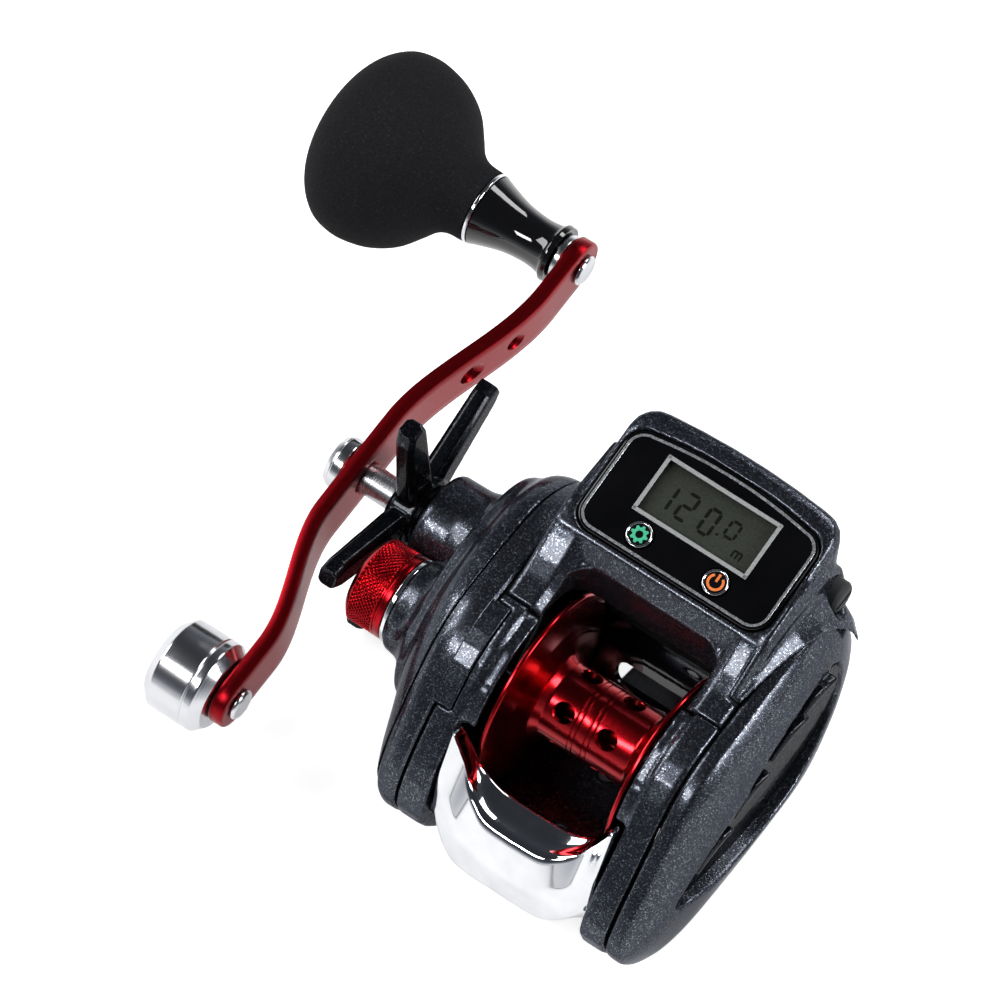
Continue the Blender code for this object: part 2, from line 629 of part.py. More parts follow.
def smooth_loop(points, steps=OUTLINE_STEPS):
    """A closed Catmull-Rom curve through the points."""
    count = len(points)
    curve = []
    for i in range(count):
        p0, p1, p2, p3 = (Vector(points[(i + k) % count]) for k in (-1, 0, 1, 2))
        for step in range(steps):
            t = step / steps
            curve.append(tuple(0.5 * (2 * p1 + (p2 - p0) * t + (2 * p0 - 5 * p1 + 4 * p2 - p3) * t * t
                                      + (3 * p1 - p0 - 3 * p2 + p3) * t * t * t)))
    return curve


def on_plate(shares):
    """A place (y, z) about the spool axis, given as shares of the plate's reach and rise."""
    return (shares[0] * PLATE_REACH, shares[1] * PLATE_RISE)


def plate_outline(shares):
    """The side plate's outline about the spool axis, as (y, z)."""
    return smooth_loop([on_plate(pair) for pair in shares])


def inset(outline, distance):
    """Move each point of an anticlockwise outline inwards along its normal."""
    count = len(outline)
    moved = []
    for i in range(count):
        before = Vector(outline[i - 1])
        after = Vector(outline[(i + 1) % count])
        run = (after - before).normalized()
        moved.append((outline[i][0] - run.y * distance, outline[i][1] + run.x * distance))
    return moved


def shrunk(outline, share, centre_share):
    """Scale an outline about a centre given as shares of the plate's reach and rise."""
    cy = centre_share[0] * PLATE_REACH
    cz = centre_share[1] * PLATE_RISE
    return [(cy + (y - cy) * share, cz + (z - cz) * share) for y, z in outline]


def rings_along_x(sections):
    """Rings for loft from (x, outline) pairs."""
    return [[(x, y, z) for y, z in outline] for x, outline in sections]


def rounded_plan(half_width, rear, front, corner, arch, steps=5):
    """A rounded rectangle of (x, s): s runs forward on the display face, its front edge arched."""
    points = []
    centres = ((half_width - corner, front - corner, 0), (corner - half_width, front - corner, 90),
               (corner - half_width, corner - rear, 180), (half_width - corner, corner - rear, 270))
    for index, (cx, cs, first) in enumerate(centres):
        for step in range(steps):
            angle = math.radians(first + 90 * step / (steps - 1))
            points.append((cx + corner * math.cos(angle), cs + corner * math.sin(angle)))
        if index == 0:
            span = half_width - corner
            for share in (0.6, 0.2, -0.2, -0.6):
                points.append((share * span, front + arch * (1 - share * share)))
    return points


def face_point(x, along, height):
    """A point given on the tilted display face: x, distance forward, height above the face."""
    y = FACE_CENTRE[0] + along * math.cos(FACE_SLOPE) - height * math.sin(FACE_SLOPE)
    z = FACE_CENTRE[1] + along * math.sin(FACE_SLOPE) + height * math.cos(FACE_SLOPE)
    return (x, y, z)


def face_slab(name, plan, low, high, material=None, cutter=False):
    """A plate parallel to the display face between two heights."""
    rings = [[face_point(x, along, height) for x, along in plan] for height in (low, high)]
    return loft(name, rings, SPOOL_AT, material, cutter)


def face_rod(name, x, along, low, high, radius, material=None, cutter=False, sides=SMALL_SIDES):
    """A round rod square to the display face."""
    return rod(name, face_point(x, along, low), face_point(x, along, high), radius,
               SPOOL_AT, material, sides, cutter)


def gear_outline(teeth):
    """Involute teeth of the shared module, thinned for backlash, as (y, z) anticlockwise."""
    pitch = GEAR_MODULE * teeth / 2
    base = pitch * math.cos(PRESSURE_ANGLE)
    tip = pitch + ADDENDUM_SHARE * GEAR_MODULE
    root = pitch - DEDENDUM_SHARE * GEAR_MODULE
    start = max(base, root)

    def half_angle(radius):
        roll = math.sqrt(max((radius / base) ** 2 - 1, 0.0))
        pitch_roll = math.sqrt((pitch / base) ** 2 - 1)
        thick = TOOTH_SHARE * math.pi / teeth
        return thick - (roll - math.atan(roll)) + (pitch_roll - math.atan(pitch_roll))

    radii = (start, tip)
    points = []
    for tooth in range(teeth):
        middle = 2 * math.pi * tooth / teeth
        root_angle = half_angle(start)
        flank = [(root, -root_angle)] if root < start else []
        flank += [(radius, -half_angle(radius)) for radius in radii]
        for radius, angle in flank + [(r, -a) for r, a in reversed(flank)]:
            points.append((radius * math.cos(middle + angle), radius * math.sin(middle + angle)))
    return points


def turn_outline(outline, angle):
    """Turn an outline about its own centre."""
    c, s = math.cos(angle), math.sin(angle)
    return [(y * c - z * s, y * s + z * c) for y, z in outline]


def ring_profile(low, high, inner, outer, edge=0.0):
    """A ring's section: x from low to high, with a chamfer on the outer edges."""
    return [(low, inner), (high, inner), (high, outer - edge), (high - edge, outer),
            (low + edge, outer), (low, outer - edge)] if edge else [
                (low, inner), (high, inner), (high, outer), (low, outer)]


def build_frame():
    """Two side rings, a floor under the spool and bars between the rings."""
    gear = plate_outline(GEAR_OUTLINE_SHARES)
    palm = plate_outline(PALM_OUTLINE_SHARES)
    sections = ((RING_IN, RING_EDGE), (RING_IN + RING_EDGE, 0.0), (RING_OUT - RING_EDGE, 0.0),
                (RING_OUT, RING_EDGE))
    frame = loft("frame", rings_along_x([(-x, inset(gear, d)) for x, d in sections]),
                 material=graphite_paint())
    other = loft("palm_ring", rings_along_x([(x, inset(palm, d)) for x, d in sections]), cutter=True)
    bore = turned("ring_bore", [(-RING_OUT + RING_WEB, 0), (-RING_OUT + RING_WEB, RING_BORE),
                                (RING_OUT + OVERRUN, RING_BORE), (RING_OUT + OVERRUN, 0)],
                  sides=FINE_SIDES, cutter=True)
    join(frame, other)
    cut(frame, bore)
    add_lips(frame)
    seam = block("cover_seat", (-RING_OUT - OVERRUN, *on_plate(COVER_SEAM_SHARES)),
                 (RING_OUT + OVERRUN, 2 * PLATE_REACH, 2 * PLATE_RISE), cutter=True)
    floor = block("floor", (-RING_IN - RING_EDGE * 2, -FLOOR_REAR, FLOOR_BOTTOM),
                  (RING_IN + RING_EDGE * 2, FLOOR_FRONT, FLOOR_TOP), cutter=True)
    bars = [rod(label, (-RING_IN - RING_EDGE * 2, y, z), (RING_IN + RING_EDGE * 2, y, z), radius, cutter=True)
            for label, (y, z), radius in (("rear_bar", on_plate(REAR_BAR_SHARES), REAR_BAR_RADIUS),
                                          ("front_bar", FRONT_BAR_PLACE, FRONT_BAR_RADIUS))]
    cut(frame, seam)
    join(frame, floor, *bars)
    hub = turned("web_hole", [(-RING_OUT - OVERRUN, 0), (-RING_OUT - OVERRUN, BEARING_RADIUS),
                              (-RING_IN, BEARING_RADIUS), (-RING_IN, 0)], cutter=True)
    cut(frame, hub, worm_hole("worm_journal_hole_gear", -RING_OUT - OVERRUN, -RING_IN + OVERRUN),
        worm_hole("worm_journal_hole_palm", RING_IN - OVERRUN, RING_OUT + OVERRUN),
        rail_hole("rail_hole_gear", -RING_OUT + RING_WEB, -RING_IN + OVERRUN),
        rail_hole("rail_hole_palm", RING_IN - OVERRUN, RING_OUT - RING_WEB), key_notch(frame=True))
    for index, y in enumerate(FOOT_SCREW_PLACES):
        cut(frame, rod("foot_screw_hole_%d" % index, (0, y, FLOOR_BOTTOM - OVERRUN),
                       (0, y, FLOOR_TOP + OVERRUN), FOOT_SCREW_RADIUS + FIT_GAP, cutter=True))
    return frame


def add_lips(frame):
    """Thin collars that lead the line onto the spool, left out where the thumb bar runs."""
    for side in (-1, 1):
        start = side * (RING_IN + RING_EDGE * 2)
        end = side * (RING_IN - LIP_WIDTH)
        lip = turned("lip_%d" % side, ring_profile(min(start, end), max(start, end), RING_BORE + FIT_GAP / 2,
                                                   RING_BORE + LIP_THICKNESS), cutter=True)
        low = min(start, end) - OVERRUN
        high = max(start, end) + OVERRUN
        cut(lip, block("lip_low_cut_%d" % side, (low, -PLATE_REACH, -PLATE_REACH),
                       (high, PLATE_REACH, 0.0), cutter=True),
            block("lip_rear_cut_%d" % side, (low, -PLATE_REACH, -PLATE_REACH),
                  (high, -RING_BORE * LIP_REAR_SHARE, PLATE_REACH), cutter=True))
        join(frame, lip)


def worm_hole(name, low, high):
    """Clearance for the worm shaft's journal through a ring or web."""
    radius = WORM_JOURNAL_RADIUS + FIT_GAP
    return turned(name, [(low, 0), (low, radius), (high, radius), (high, 0)], WORM_AT,
                  sides=SMALL_SIDES, cutter=True)


def rail_hole(name, low, high):
    """Seat for an end of the guide rail."""
    radius = RAIL_RADIUS + FIT_GAP
    return turned(name, [(low, 0), (low, radius), (high, radius), (high, 0)], RAIL_AT,
                  sides=SMALL_SIDES, cutter=True)


def key_corners(gap):
    """Corners of the key that bridges the seam between the frame and the gear side plate."""
    start = BAND_IN - KEY_REACH
    return ((start - gap, KEY_REAR - gap, 0.0),
            (start + KEY_WIDTH + gap, KEY_FRONT + gap, PLATE_RISE + OVERRUN))


def key_outline(depth):
    """The key follows the plate's crown: its outline in (y, z) down to a depth."""
    crown = plate_outline(GEAR_OUTLINE_SHARES)
    steps = 7
    ys = [KEY_REAR + (KEY_FRONT - KEY_REAR) * i / (steps - 1) for i in range(steps)]
    top = [(y, upper_edge(crown, y)) for y in ys]
    return [(y, z - depth) for y, z in top] + [(y, z) for y, z in reversed(top)]


def key_notch(frame):
    """A pocket in the crown, as deep as the key and its clearance."""
    low, high = key_corners(FIT_GAP)
    name = "key_notch_frame" if frame else "key_notch_plate"
    crown = plate_outline(GEAR_OUTLINE_SHARES)
    ys = [low[1] + (high[1] - low[1]) * i / 6 for i in range(7)]
    top = [(y, upper_edge(crown, y)) for y in ys]
    outline = [(y, z - KEY_DEPTH - FIT_GAP) for y, z in top] + [(y, z + OVERRUN) for y, z in reversed(top)]
    return prism(name, outline, low[0], high[0], cutter=True)


def upper_edge(outline, y):
    """Height of an outline's upper side at y."""
    best = None
    count = len(outline)
    for i in range(count):
        (y0, z0), (y1, z1) = outline[i], outline[(i + 1) % count]
        if min(y0, y1) <= y <= max(y0, y1) and y0 != y1:
            z = z0 + (z1 - z0) * (y - y0) / (y1 - y0)
            best = z if best is None else max(best, z)
    return best


def build_seam_key():
    low, high = key_corners(0.0)
    prism("seam_key", key_outline(KEY_DEPTH), low[0], high[0], material=graphite_paint())


def build_foot():
    """The flat foot that a reel seat clamps: it thins and narrows towards both tips."""
    top = -SPOOL_AT.z + FOOT_THICKNESS
    rows = []
    steps = 9
    for i in range(steps):
        t = 2 * i / (steps - 1) - 1
        share = abs(t) ** 2
        half = FOOT_HALF_WIDTH * (1 - (1 - FOOT_TIP_WIDTH_SHARE) * share)
        high = -SPOOL_AT.z + FOOT_THICKNESS * (1 - (1 - FOOT_TIP_THICKNESS_SHARE) * max(0.0, share - 0.2) / 0.8)
        y = SPOOL_AXIS_SETBACK + t * FOOT_HALF_LENGTH
        rows.append([(-half, y, -SPOOL_AT.z), (half, y, -SPOOL_AT.z), (half, y, high - FIT_GAP),
                     (half - FIT_GAP * 2, y, high), (FIT_GAP * 2 - half, y, high), (-half, y, high - FIT_GAP)])
    foot = loft("reel_foot", rows, material=steel())
    for index, y in enumerate(FOOT_SCREW_PLACES):
        low = -SPOOL_AT.z
        cut(foot, rod("foot_hole_%d" % index, (0, y, low - OVERRUN), (0, y, top + OVERRUN),
                      FOOT_SCREW_RADIUS + FIT_GAP, cutter=True),
            rod("foot_sink_%d" % index, (0, y, low - OVERRUN), (0, y, low + FOOT_SCREW_HEAD + FIT_GAP),
                FOOT_SCREW_HEAD_RADIUS + FIT_GAP, cutter=True))
    for label, y in zip(("rear", "front"), FOOT_SCREW_PLACES):
        screw = rod("foot_screw_" + label, (0, y, low + FIT_GAP), (0, y, low + FOOT_SCREW_HEAD),
                    FOOT_SCREW_HEAD_RADIUS, material=steel())
        join(screw, rod("foot_screw_stem_" + label, (0, y, low + FIT_GAP * 2), (0, y, FLOOR_TOP - FIT_GAP),
                        FOOT_SCREW_RADIUS, cutter=True))


def build_spool():
    """A thin aluminium spool: dished flanges, a hollow drilled drum and a hub on the shaft."""
    rim = SPOOL_WIDTH / 2
    drum = DRUM_WIDTH / 2
    rise = SPOOL_RADIUS - DRUM_RADIUS
    run = rim - SPOOL_LIP - drum
    inner = DRUM_RADIUS - DRUM_WALL
    bore = SHAFT_RADIUS + FIT_GAP

    def inside(side):
        return [(side * (rim - SPOOL_LIP), SPOOL_RADIUS), (side * (drum + run * 0.72), DRUM_RADIUS + rise * 0.48),
                (side * (drum + run * 0.32), DRUM_RADIUS + rise * 0.11), (side * (drum - run * 0.10), DRUM_RADIUS)]

    def outside(side):
        return [(side * rim, SPOOL_RADIUS), (side * rim, SPOOL_RADIUS - SPOOL_LIP),
                (side * (rim - SPOOL_LIP * 1.4), DRUM_RADIUS + rise * 0.30)]

    web = drum + run * 0.10
    profile = (outside(-1) + [(-web, inner), (web, inner), (web, HUB_RADIUS), (-web, HUB_RADIUS), (-web, bore),
                              (rim - SPOOL_LIP, bore), (rim - SPOOL_LIP, HUB_RADIUS),
                              (web + DRUM_WALL, HUB_RADIUS), (web + DRUM_WALL, inner)]
               + outside(1)[::-1] + inside(1) + inside(-1)[::-1])
    spool = turned("spool", profile, material=red_anodised(), sides=FINE_SIDES)
    for row in range(SPOOL_HOLE_ROWS):
        angle = SPOOL_HOLE_ANGLE + 2 * math.pi * row / SPOOL_HOLE_ROWS
        way = Vector((0.0, math.cos(angle), math.sin(angle)))
        for side in (-1, 1):
            x = SPOOL_HOLE_CENTRE + side * SPOOL_HOLE_SPACING / 2
            cut(spool, rod("spool_hole_%d_%d" % (row, side), way * (inner - DRUM_WALL) + Vector((x, 0, 0)),
                           way * (DRUM_RADIUS + DRUM_WALL) + Vector((x, 0, 0)), SPOOL_HOLE_RADIUS,
                           sides=HOLE_SIDES, cutter=True))


def build_spool_shaft():
    """The shaft from the palm bearing to the tension cap, with its cross pin for the pinion."""
    shaft = turned("spool_shaft", [(SHAFT_CAP_END, 0), (SHAFT_CAP_END + FIT_GAP, SHAFT_RADIUS - FIT_GAP),
                                   (SHAFT_CAP_END + 3 * FIT_GAP, SHAFT_RADIUS), (SHAFT_PALM_END - FIT_GAP, SHAFT_RADIUS),
                                   (SHAFT_PALM_END, SHAFT_RADIUS - FIT_GAP), (SHAFT_PALM_END, 0)],
                   material=steel(), sides=SMALL_SIDES)
    x = -RING_OUT + RING_WEB / 2
    join(shaft, rod("shaft_pin", (x, 0, -SHAFT_PIN_REACH), (x, 0, SHAFT_PIN_REACH), SHAFT_PIN_RADIUS,
                    sides=HOLE_SIDES, cutter=True))


def build_bearings():
    """Ball bearings and the bushes that carry the shafts."""
    bore = SHAFT_RADIUS + FIT_GAP
    gear_x = CAP_BOSS_END + FIT_GAP * 2
    turned("spool_bearing_gear", ring_profile(gear_x, gear_x + BEARING_WIDTH, bore, BEARING_RADIUS),
           material=steel())
    palm_x = PALM_IN + FIT_GAP
    turned("spool_bearing_palm", ring_profile(palm_x, palm_x + BEARING_WIDTH, bore, BEARING_RADIUS),
           material=steel())
    turned("drive_shaft_bush", ring_profile(WEB_OUT, BAND_IN - FIT_GAP, DRIVE_JOURNAL_RADIUS + FIT_GAP,
                                            BUSH_RADIUS), DRIVE_AT, brass(), sides=SMALL_SIDES)
    turned("roller_clutch", ring_profile(DRIVE_BOSS_END + FIT_GAP, DRIVE_BOSS_END + FIT_GAP + CLUTCH_LENGTH,
                                         DRIVE_STEP_RADIUS + FIT_GAP, DRIVE_BOSS_RADIUS - BOSS_WALL - FIT_GAP),
           DRIVE_AT, steel())


def build_gear_side_plate():
    """Inner side plate: a web that carries the gears and a band that shows round the edge."""
    outline = plate_outline(GEAR_OUTLINE_SHARES)
    band = [(BAND_IN - share_x * BAND_WIDTH, towards_plateau(outline, front, tail))
            for share_x, front, tail in BAND_SHARES]
    plate = loft("gear_side_plate", rings_along_x([
        (BAND_IN, inset(outline, RING_EDGE)), (BAND_IN - RING_EDGE, outline)] + band), material=graphite_paint())
    inner = [(WEB_OUT, inset(outline, BAND_WALL))] + [(x, inset(ring, BAND_WALL)) for x, ring in band]
    inner.append((BAND_OUT - OVERRUN, inner[-1][1]))
    hollow = loft("plate_hollow", rings_along_x(inner), cutter=True)
    hub = turned("plate_hub_hole", [(WEB_OUT - OVERRUN, 0), (WEB_OUT - OVERRUN, BEARING_RADIUS - BOSS_WALL / 2),
                                    (BAND_IN + OVERRUN, BEARING_RADIUS - BOSS_WALL / 2), (BAND_IN + OVERRUN, 0)],
                 cutter=True)
    bush = turned("bush_seat", [(WEB_OUT - OVERRUN, 0), (WEB_OUT - OVERRUN, BUSH_RADIUS + FIT_GAP),
                                (BAND_IN + OVERRUN, BUSH_RADIUS + FIT_GAP), (BAND_IN + OVERRUN, 0)],
                  DRIVE_AT, sides=SMALL_SIDES, cutter=True)
    cut(plate, hollow, hub, bush, worm_hole("worm_hole_plate", WEB_OUT - OVERRUN, BAND_IN + OVERRUN),
        key_notch(frame=False))
    for side, label in ((1, "upper"), (-1, "lower")):
        z = side * POST_SPACING / 2
        join(plate, rod("yoke_post_" + label, (WEB_OUT + FIT_GAP, POST_SETBACK, z), (BAND_OUT - POST_REACH, POST_SETBACK, z),
                        POST_RADIUS, sides=HOLE_SIDES, cutter=True))


def towards_plateau(outline, front, tail):
    """Move the outline towards the raised plateau, further at the tail than at the front."""
    plateau = plate_outline(PLATEAU_SHARES)
    moved = []
    for (y, z), (py, pz) in zip(outline, plateau):
        tailness = max(0.0, min(1.0, (TAIL_START_SHARE - y / PLATE_REACH) / TAIL_LENGTH_SHARE))
        share = front + (tail - front) * tailness
        moved.append((y + (py - y) * share, z + (pz - z) * share))
    return moved


def build_gear_side_cover():
    """Outer cover: a shallow dome with the boss of the handle and the boss of the tension cap."""
    outline = plate_outline(GEAR_OUTLINE_SHARES)
    dome = [(COVER_IN - share_x * COVER_DEPTH, towards_plateau(outline, front, tail))
            for share_x, front, tail in SLOPE_SHARES]
    rim = towards_plateau(outline, *BAND_SHARES[-1][1:])
    cover = loft("gear_side_cover", rings_along_x([(COVER_IN, rim)] + dome), material=graphite_paint())
    wall = COVER_WALL
    hollow_rows = [(COVER_IN + OVERRUN, inset(rim, wall))]
    hollow_rows += [(x + wall, inset(ring, wall)) for x, ring in dome]
    hollow = loft("cover_hollow", rings_along_x(hollow_rows), cutter=True)
    flare_at = COVER_OUT - CAP_BOSS_LENGTH * DRIVE_BOSS_FLARE_SHARES[0]
    flare_radius = DRIVE_BOSS_RADIUS + (DRIVE_BOSS_ROOT_RADIUS - DRIVE_BOSS_RADIUS) * DRIVE_BOSS_FLARE_SHARES[1]
    boss = turned("drive_boss", [
        (COVER_OUT + wall / 2, 0), (COVER_OUT + wall / 2, DRIVE_BOSS_ROOT_RADIUS), (flare_at, flare_radius),
        (CAP_BOSS_END + FIT_GAP, DRIVE_BOSS_RADIUS), (DRIVE_BOSS_END + COVER_EDGE, DRIVE_BOSS_RADIUS),
        (DRIVE_BOSS_END, DRIVE_BOSS_RADIUS - COVER_EDGE), (DRIVE_BOSS_END, 0)], DRIVE_AT, cutter=True)
    neck = turned("cap_boss", [
        (COVER_OUT + wall / 2, 0), (COVER_OUT + wall / 2, CAP_BOSS_RADIUS * 1.16),
        (COVER_OUT - CAP_BOSS_LENGTH * 0.25, CAP_BOSS_RADIUS), (CAP_BOSS_END + FIT_GAP, CAP_BOSS_RADIUS),
        (CAP_BOSS_END, CAP_BOSS_RADIUS - FIT_GAP), (CAP_BOSS_END, THREAD_RADIUS),
        (THREAD_END + FIT_GAP, THREAD_RADIUS), (THREAD_END, THREAD_RADIUS - FIT_GAP), (THREAD_END, 0)], cutter=True)
    join(cover, boss, neck)
    bore = DRIVE_BOSS_RADIUS - BOSS_WALL
    drive_bore = turned("drive_bore", [
        (COVER_OUT + OVERRUN * 2, 0), (COVER_OUT + OVERRUN * 2, bore + BOSS_WALL / 2),
        (COVER_OUT - FIT_GAP, bore + BOSS_WALL / 2), (DRIVE_BOSS_END + CLUTCH_LENGTH + FIT_GAP * 2, bore),
        (DRIVE_BOSS_END - OVERRUN, bore), (DRIVE_BOSS_END - OVERRUN, 0)], DRIVE_AT, sides=SIDES + 4, cutter=True)
    seat = BEARING_RADIUS + FIT_GAP
    cap_bore = turned("cap_bore", [
        (COVER_OUT + OVERRUN * 2, 0), (COVER_OUT + OVERRUN * 2, seat), (CAP_BOSS_END + FIT_GAP, seat),
        (CAP_BOSS_END + FIT_GAP, SHAFT_RADIUS + SEAT_GAP), (THREAD_END - OVERRUN, SHAFT_RADIUS + SEAT_GAP),
        (THREAD_END - OVERRUN, 0)], cutter=True)
    cut(cover, hollow, cap_bore, drive_bore)
    for index, shares in enumerate(COVER_SCREW_SHARES):
        y, z = on_plate(shares)
        head = COVER_SCREW_RADIUS * 1.5
        cut(cover, rod("cover_screw_hole_%d" % index, (COVER_OUT - OVERRUN, y, z), (BAND_OUT, y, z),
                       COVER_SCREW_RADIUS + FIT_GAP, sides=HOLE_SIDES, cutter=True))
        screw = rod("cover_screw_%d" % (index + 1), (COVER_OUT - FIT_GAP, y, z), (COVER_OUT - FIT_GAP - COVER_EDGE, y, z),
                    head, material=steel(), sides=HOLE_SIDES)
        join(screw, rod("cover_screw_stem_%d" % index, (COVER_OUT - COVER_EDGE, y, z),
                        (COVER_OUT + COVER_WALL * 1.6, y, z), COVER_SCREW_RADIUS * 0.8, sides=HOLE_SIDES, cutter=True))


def build_tension_cap():
    """Knurled cap that screws over the boss, its friction shim and the bright ring behind it."""
    wall = CAP_WALL
    turned("cast_control_cap", [
        (CAP_OUT, 0), (CAP_OUT, CAP_RADIUS - CAP_CHAMFER * 1.6), (CAP_OUT + CAP_CHAMFER, CAP_RADIUS),
        (CAP_IN - FIT_GAP, CAP_RADIUS), (CAP_IN, CAP_RADIUS - FIT_GAP), (CAP_IN, THREAD_RADIUS + FIT_GAP),
        (CAP_OUT + wall, THREAD_RADIUS + FIT_GAP), (CAP_OUT + wall, 0)], material=red_anodised(), sides=FINE_SIDES)
    shim = CAP_OUT + wall + FIT_GAP
    turned("cap_shim", [(shim, 0), (shim, THREAD_RADIUS * 0.8), (shim + SHIM_THICKNESS, THREAD_RADIUS * 0.8),
                        (shim + SHIM_THICKNESS, 0)], material=carbon(), sides=SMALL_SIDES)
    turned("cap_ring", ring_profile(CAP_RING_END, CAP_RING_END + CAP_RING_WIDTH, THREAD_RADIUS + FIT_GAP,
                                    CAP_RING_RADIUS, FIT_GAP), material=chrome())


def bored_gear(name, teeth, low, high, bore, at, material, turn=0.0):
    """A spur gear with a round bore."""
    gear = prism(name, turn_outline(gear_outline(teeth), turn), low, high, at, material)
    cut(gear, turned(name + "_bore", [(low - OVERRUN, 0), (low - OVERRUN, bore), (high + OVERRUN, bore),
                                      (high + OVERRUN, 0)], at, cutter=True))
    return gear


def meshing_turn(driver_teeth, driver_turn, follower_teeth, line_angle):
    """Turn of a follower so that a gap of it meets the driver's tooth on the line of centres."""
    phase = (line_angle - driver_turn) * driver_teeth / (2 * math.pi)
    return line_angle + math.pi + (phase + 0.5) * 2 * math.pi / follower_teeth


def build_gear_train():
    """Drive gear, its drag washers, the pinion, and the small gears of the level wind."""
    gear = bored_gear("drive_gear", DRIVE_TEETH, DRIVE_GEAR_OUT, DRIVE_GEAR_IN, DRIVE_SHAFT_RADIUS + FIT_GAP,
                      DRIVE_AT, brass())
    pocket = DRIVE_GEAR_OUT + WASHER_THICKNESS
    cut(gear, turned("drag_pocket", ring_profile(DRIVE_GEAR_OUT - OVERRUN, pocket + FIT_GAP,
                                                 DRIVE_STEP_RADIUS, WASHER_RADIUS + FIT_GAP), DRIVE_AT, cutter=True))
    bore = DRIVE_SHAFT_RADIUS + FIT_GAP
    turned("drag_washer", ring_profile(pocket - WASHER_THICKNESS, pocket, DRIVE_STEP_RADIUS + FIT_GAP,
                                       WASHER_RADIUS), DRIVE_AT, carbon())
    turned("drag_plate", ring_profile(DRIVE_GEAR_OUT - FIT_GAP - WASHER_THICKNESS, DRIVE_GEAR_OUT - FIT_GAP, bore,
                                      WASHER_RADIUS), DRIVE_AT, steel())
    bored_gear("levelwind_drive_gear", WIND_DRIVE_TEETH, WIND_GEAR_OUT, WIND_GEAR_IN, bore, DRIVE_AT, brass())
    turn = meshing_turn(WIND_DRIVE_TEETH, 0.0, WORM_TEETH, WORM_ANGLE)
    bored_gear("worm_gear", WORM_TEETH, WIND_GEAR_OUT, WIND_GEAR_IN, WORM_JOURNAL_RADIUS + FIT_GAP, WORM_AT,
               rubber(), turn)
    build_pinion()


def build_pinion():
    """Pinion: long teeth, a groove for the yoke and a slotted end that grips the shaft's pin."""
    teeth_in = DRIVE_GEAR_IN + (PINION_TOOTH_WIDTH - DRIVE_GEAR_WIDTH) / 4
    teeth_out = teeth_in - PINION_TOOTH_WIDTH
    turn = meshing_turn(DRIVE_TEETH, 0.0, PINION_TEETH, DRIVE_ANGLE + math.pi)
    pinion = prism("pinion_gear", turn_outline(gear_outline(PINION_TEETH), turn), teeth_out, teeth_in,
                   material=brass())
    groove = PINION_GROOVE_RADIUS
    end = -RING_OUT + SHAFT_PIN_RADIUS
    tail = turned("pinion_tail", [
        (teeth_in - FIT_GAP, 0), (teeth_in - FIT_GAP, groove), (teeth_in + PINION_GROOVE_WIDTH, groove),
        (teeth_in + PINION_GROOVE_WIDTH, PINION_END_RADIUS), (end, PINION_END_RADIUS), (end, 0)],
        sides=SMALL_SIDES, cutter=True)
    nose = turned("pinion_nose", [(teeth_out + FIT_GAP, 0), (teeth_out + FIT_GAP, groove),
                                  (teeth_out - PINION_END_WIDTH, groove), (teeth_out - PINION_END_WIDTH, 0)],
                  sides=SMALL_SIDES, cutter=True)
    low = teeth_out - PINION_END_WIDTH - OVERRUN
    bore = turned("pinion_bore", [(low, 0), (low, SHAFT_RADIUS + FIT_GAP), (OVERRUN - RING_OUT, SHAFT_RADIUS + FIT_GAP),
                                  (OVERRUN - RING_OUT, 0)], sides=SMALL_SIDES + 2, cutter=True)
    slot = SHAFT_PIN_RADIUS + FIT_GAP
    join(pinion, tail, nose)
    cut(pinion, bore, block("pin_slot", (end - 2 * SHAFT_PIN_RADIUS, -slot, -PINION_END_RADIUS - FIT_GAP),
                            (end + OVERRUN, slot, PINION_END_RADIUS + FIT_GAP), cutter=True))
    return teeth_in


def build_drive_shaft():
    """Stepped shaft of the handle: journal, gear seat, thread for the star, seat for the arm."""
    square = DRIVE_SHAFT_RADIUS
    turned("drive_shaft", [
        (BAND_IN - FIT_GAP, 0), (BAND_IN - FIT_GAP, DRIVE_JOURNAL_RADIUS), (WEB_OUT - FIT_GAP, DRIVE_JOURNAL_RADIUS),
        (WEB_OUT - FIT_GAP, square), (DRAG_PLATE_OUT - FIT_GAP, square), (DRAG_PLATE_OUT - FIT_GAP, DRIVE_STEP_RADIUS),
        (DRIVE_BOSS_END + FIT_GAP, DRIVE_STEP_RADIUS), (DRIVE_BOSS_END + FIT_GAP, square),
        (ARM_OUT - NUT_LENGTH * 0.6, square * 0.9), (ARM_OUT - NUT_LENGTH * 0.6, 0)], DRIVE_AT, steel())


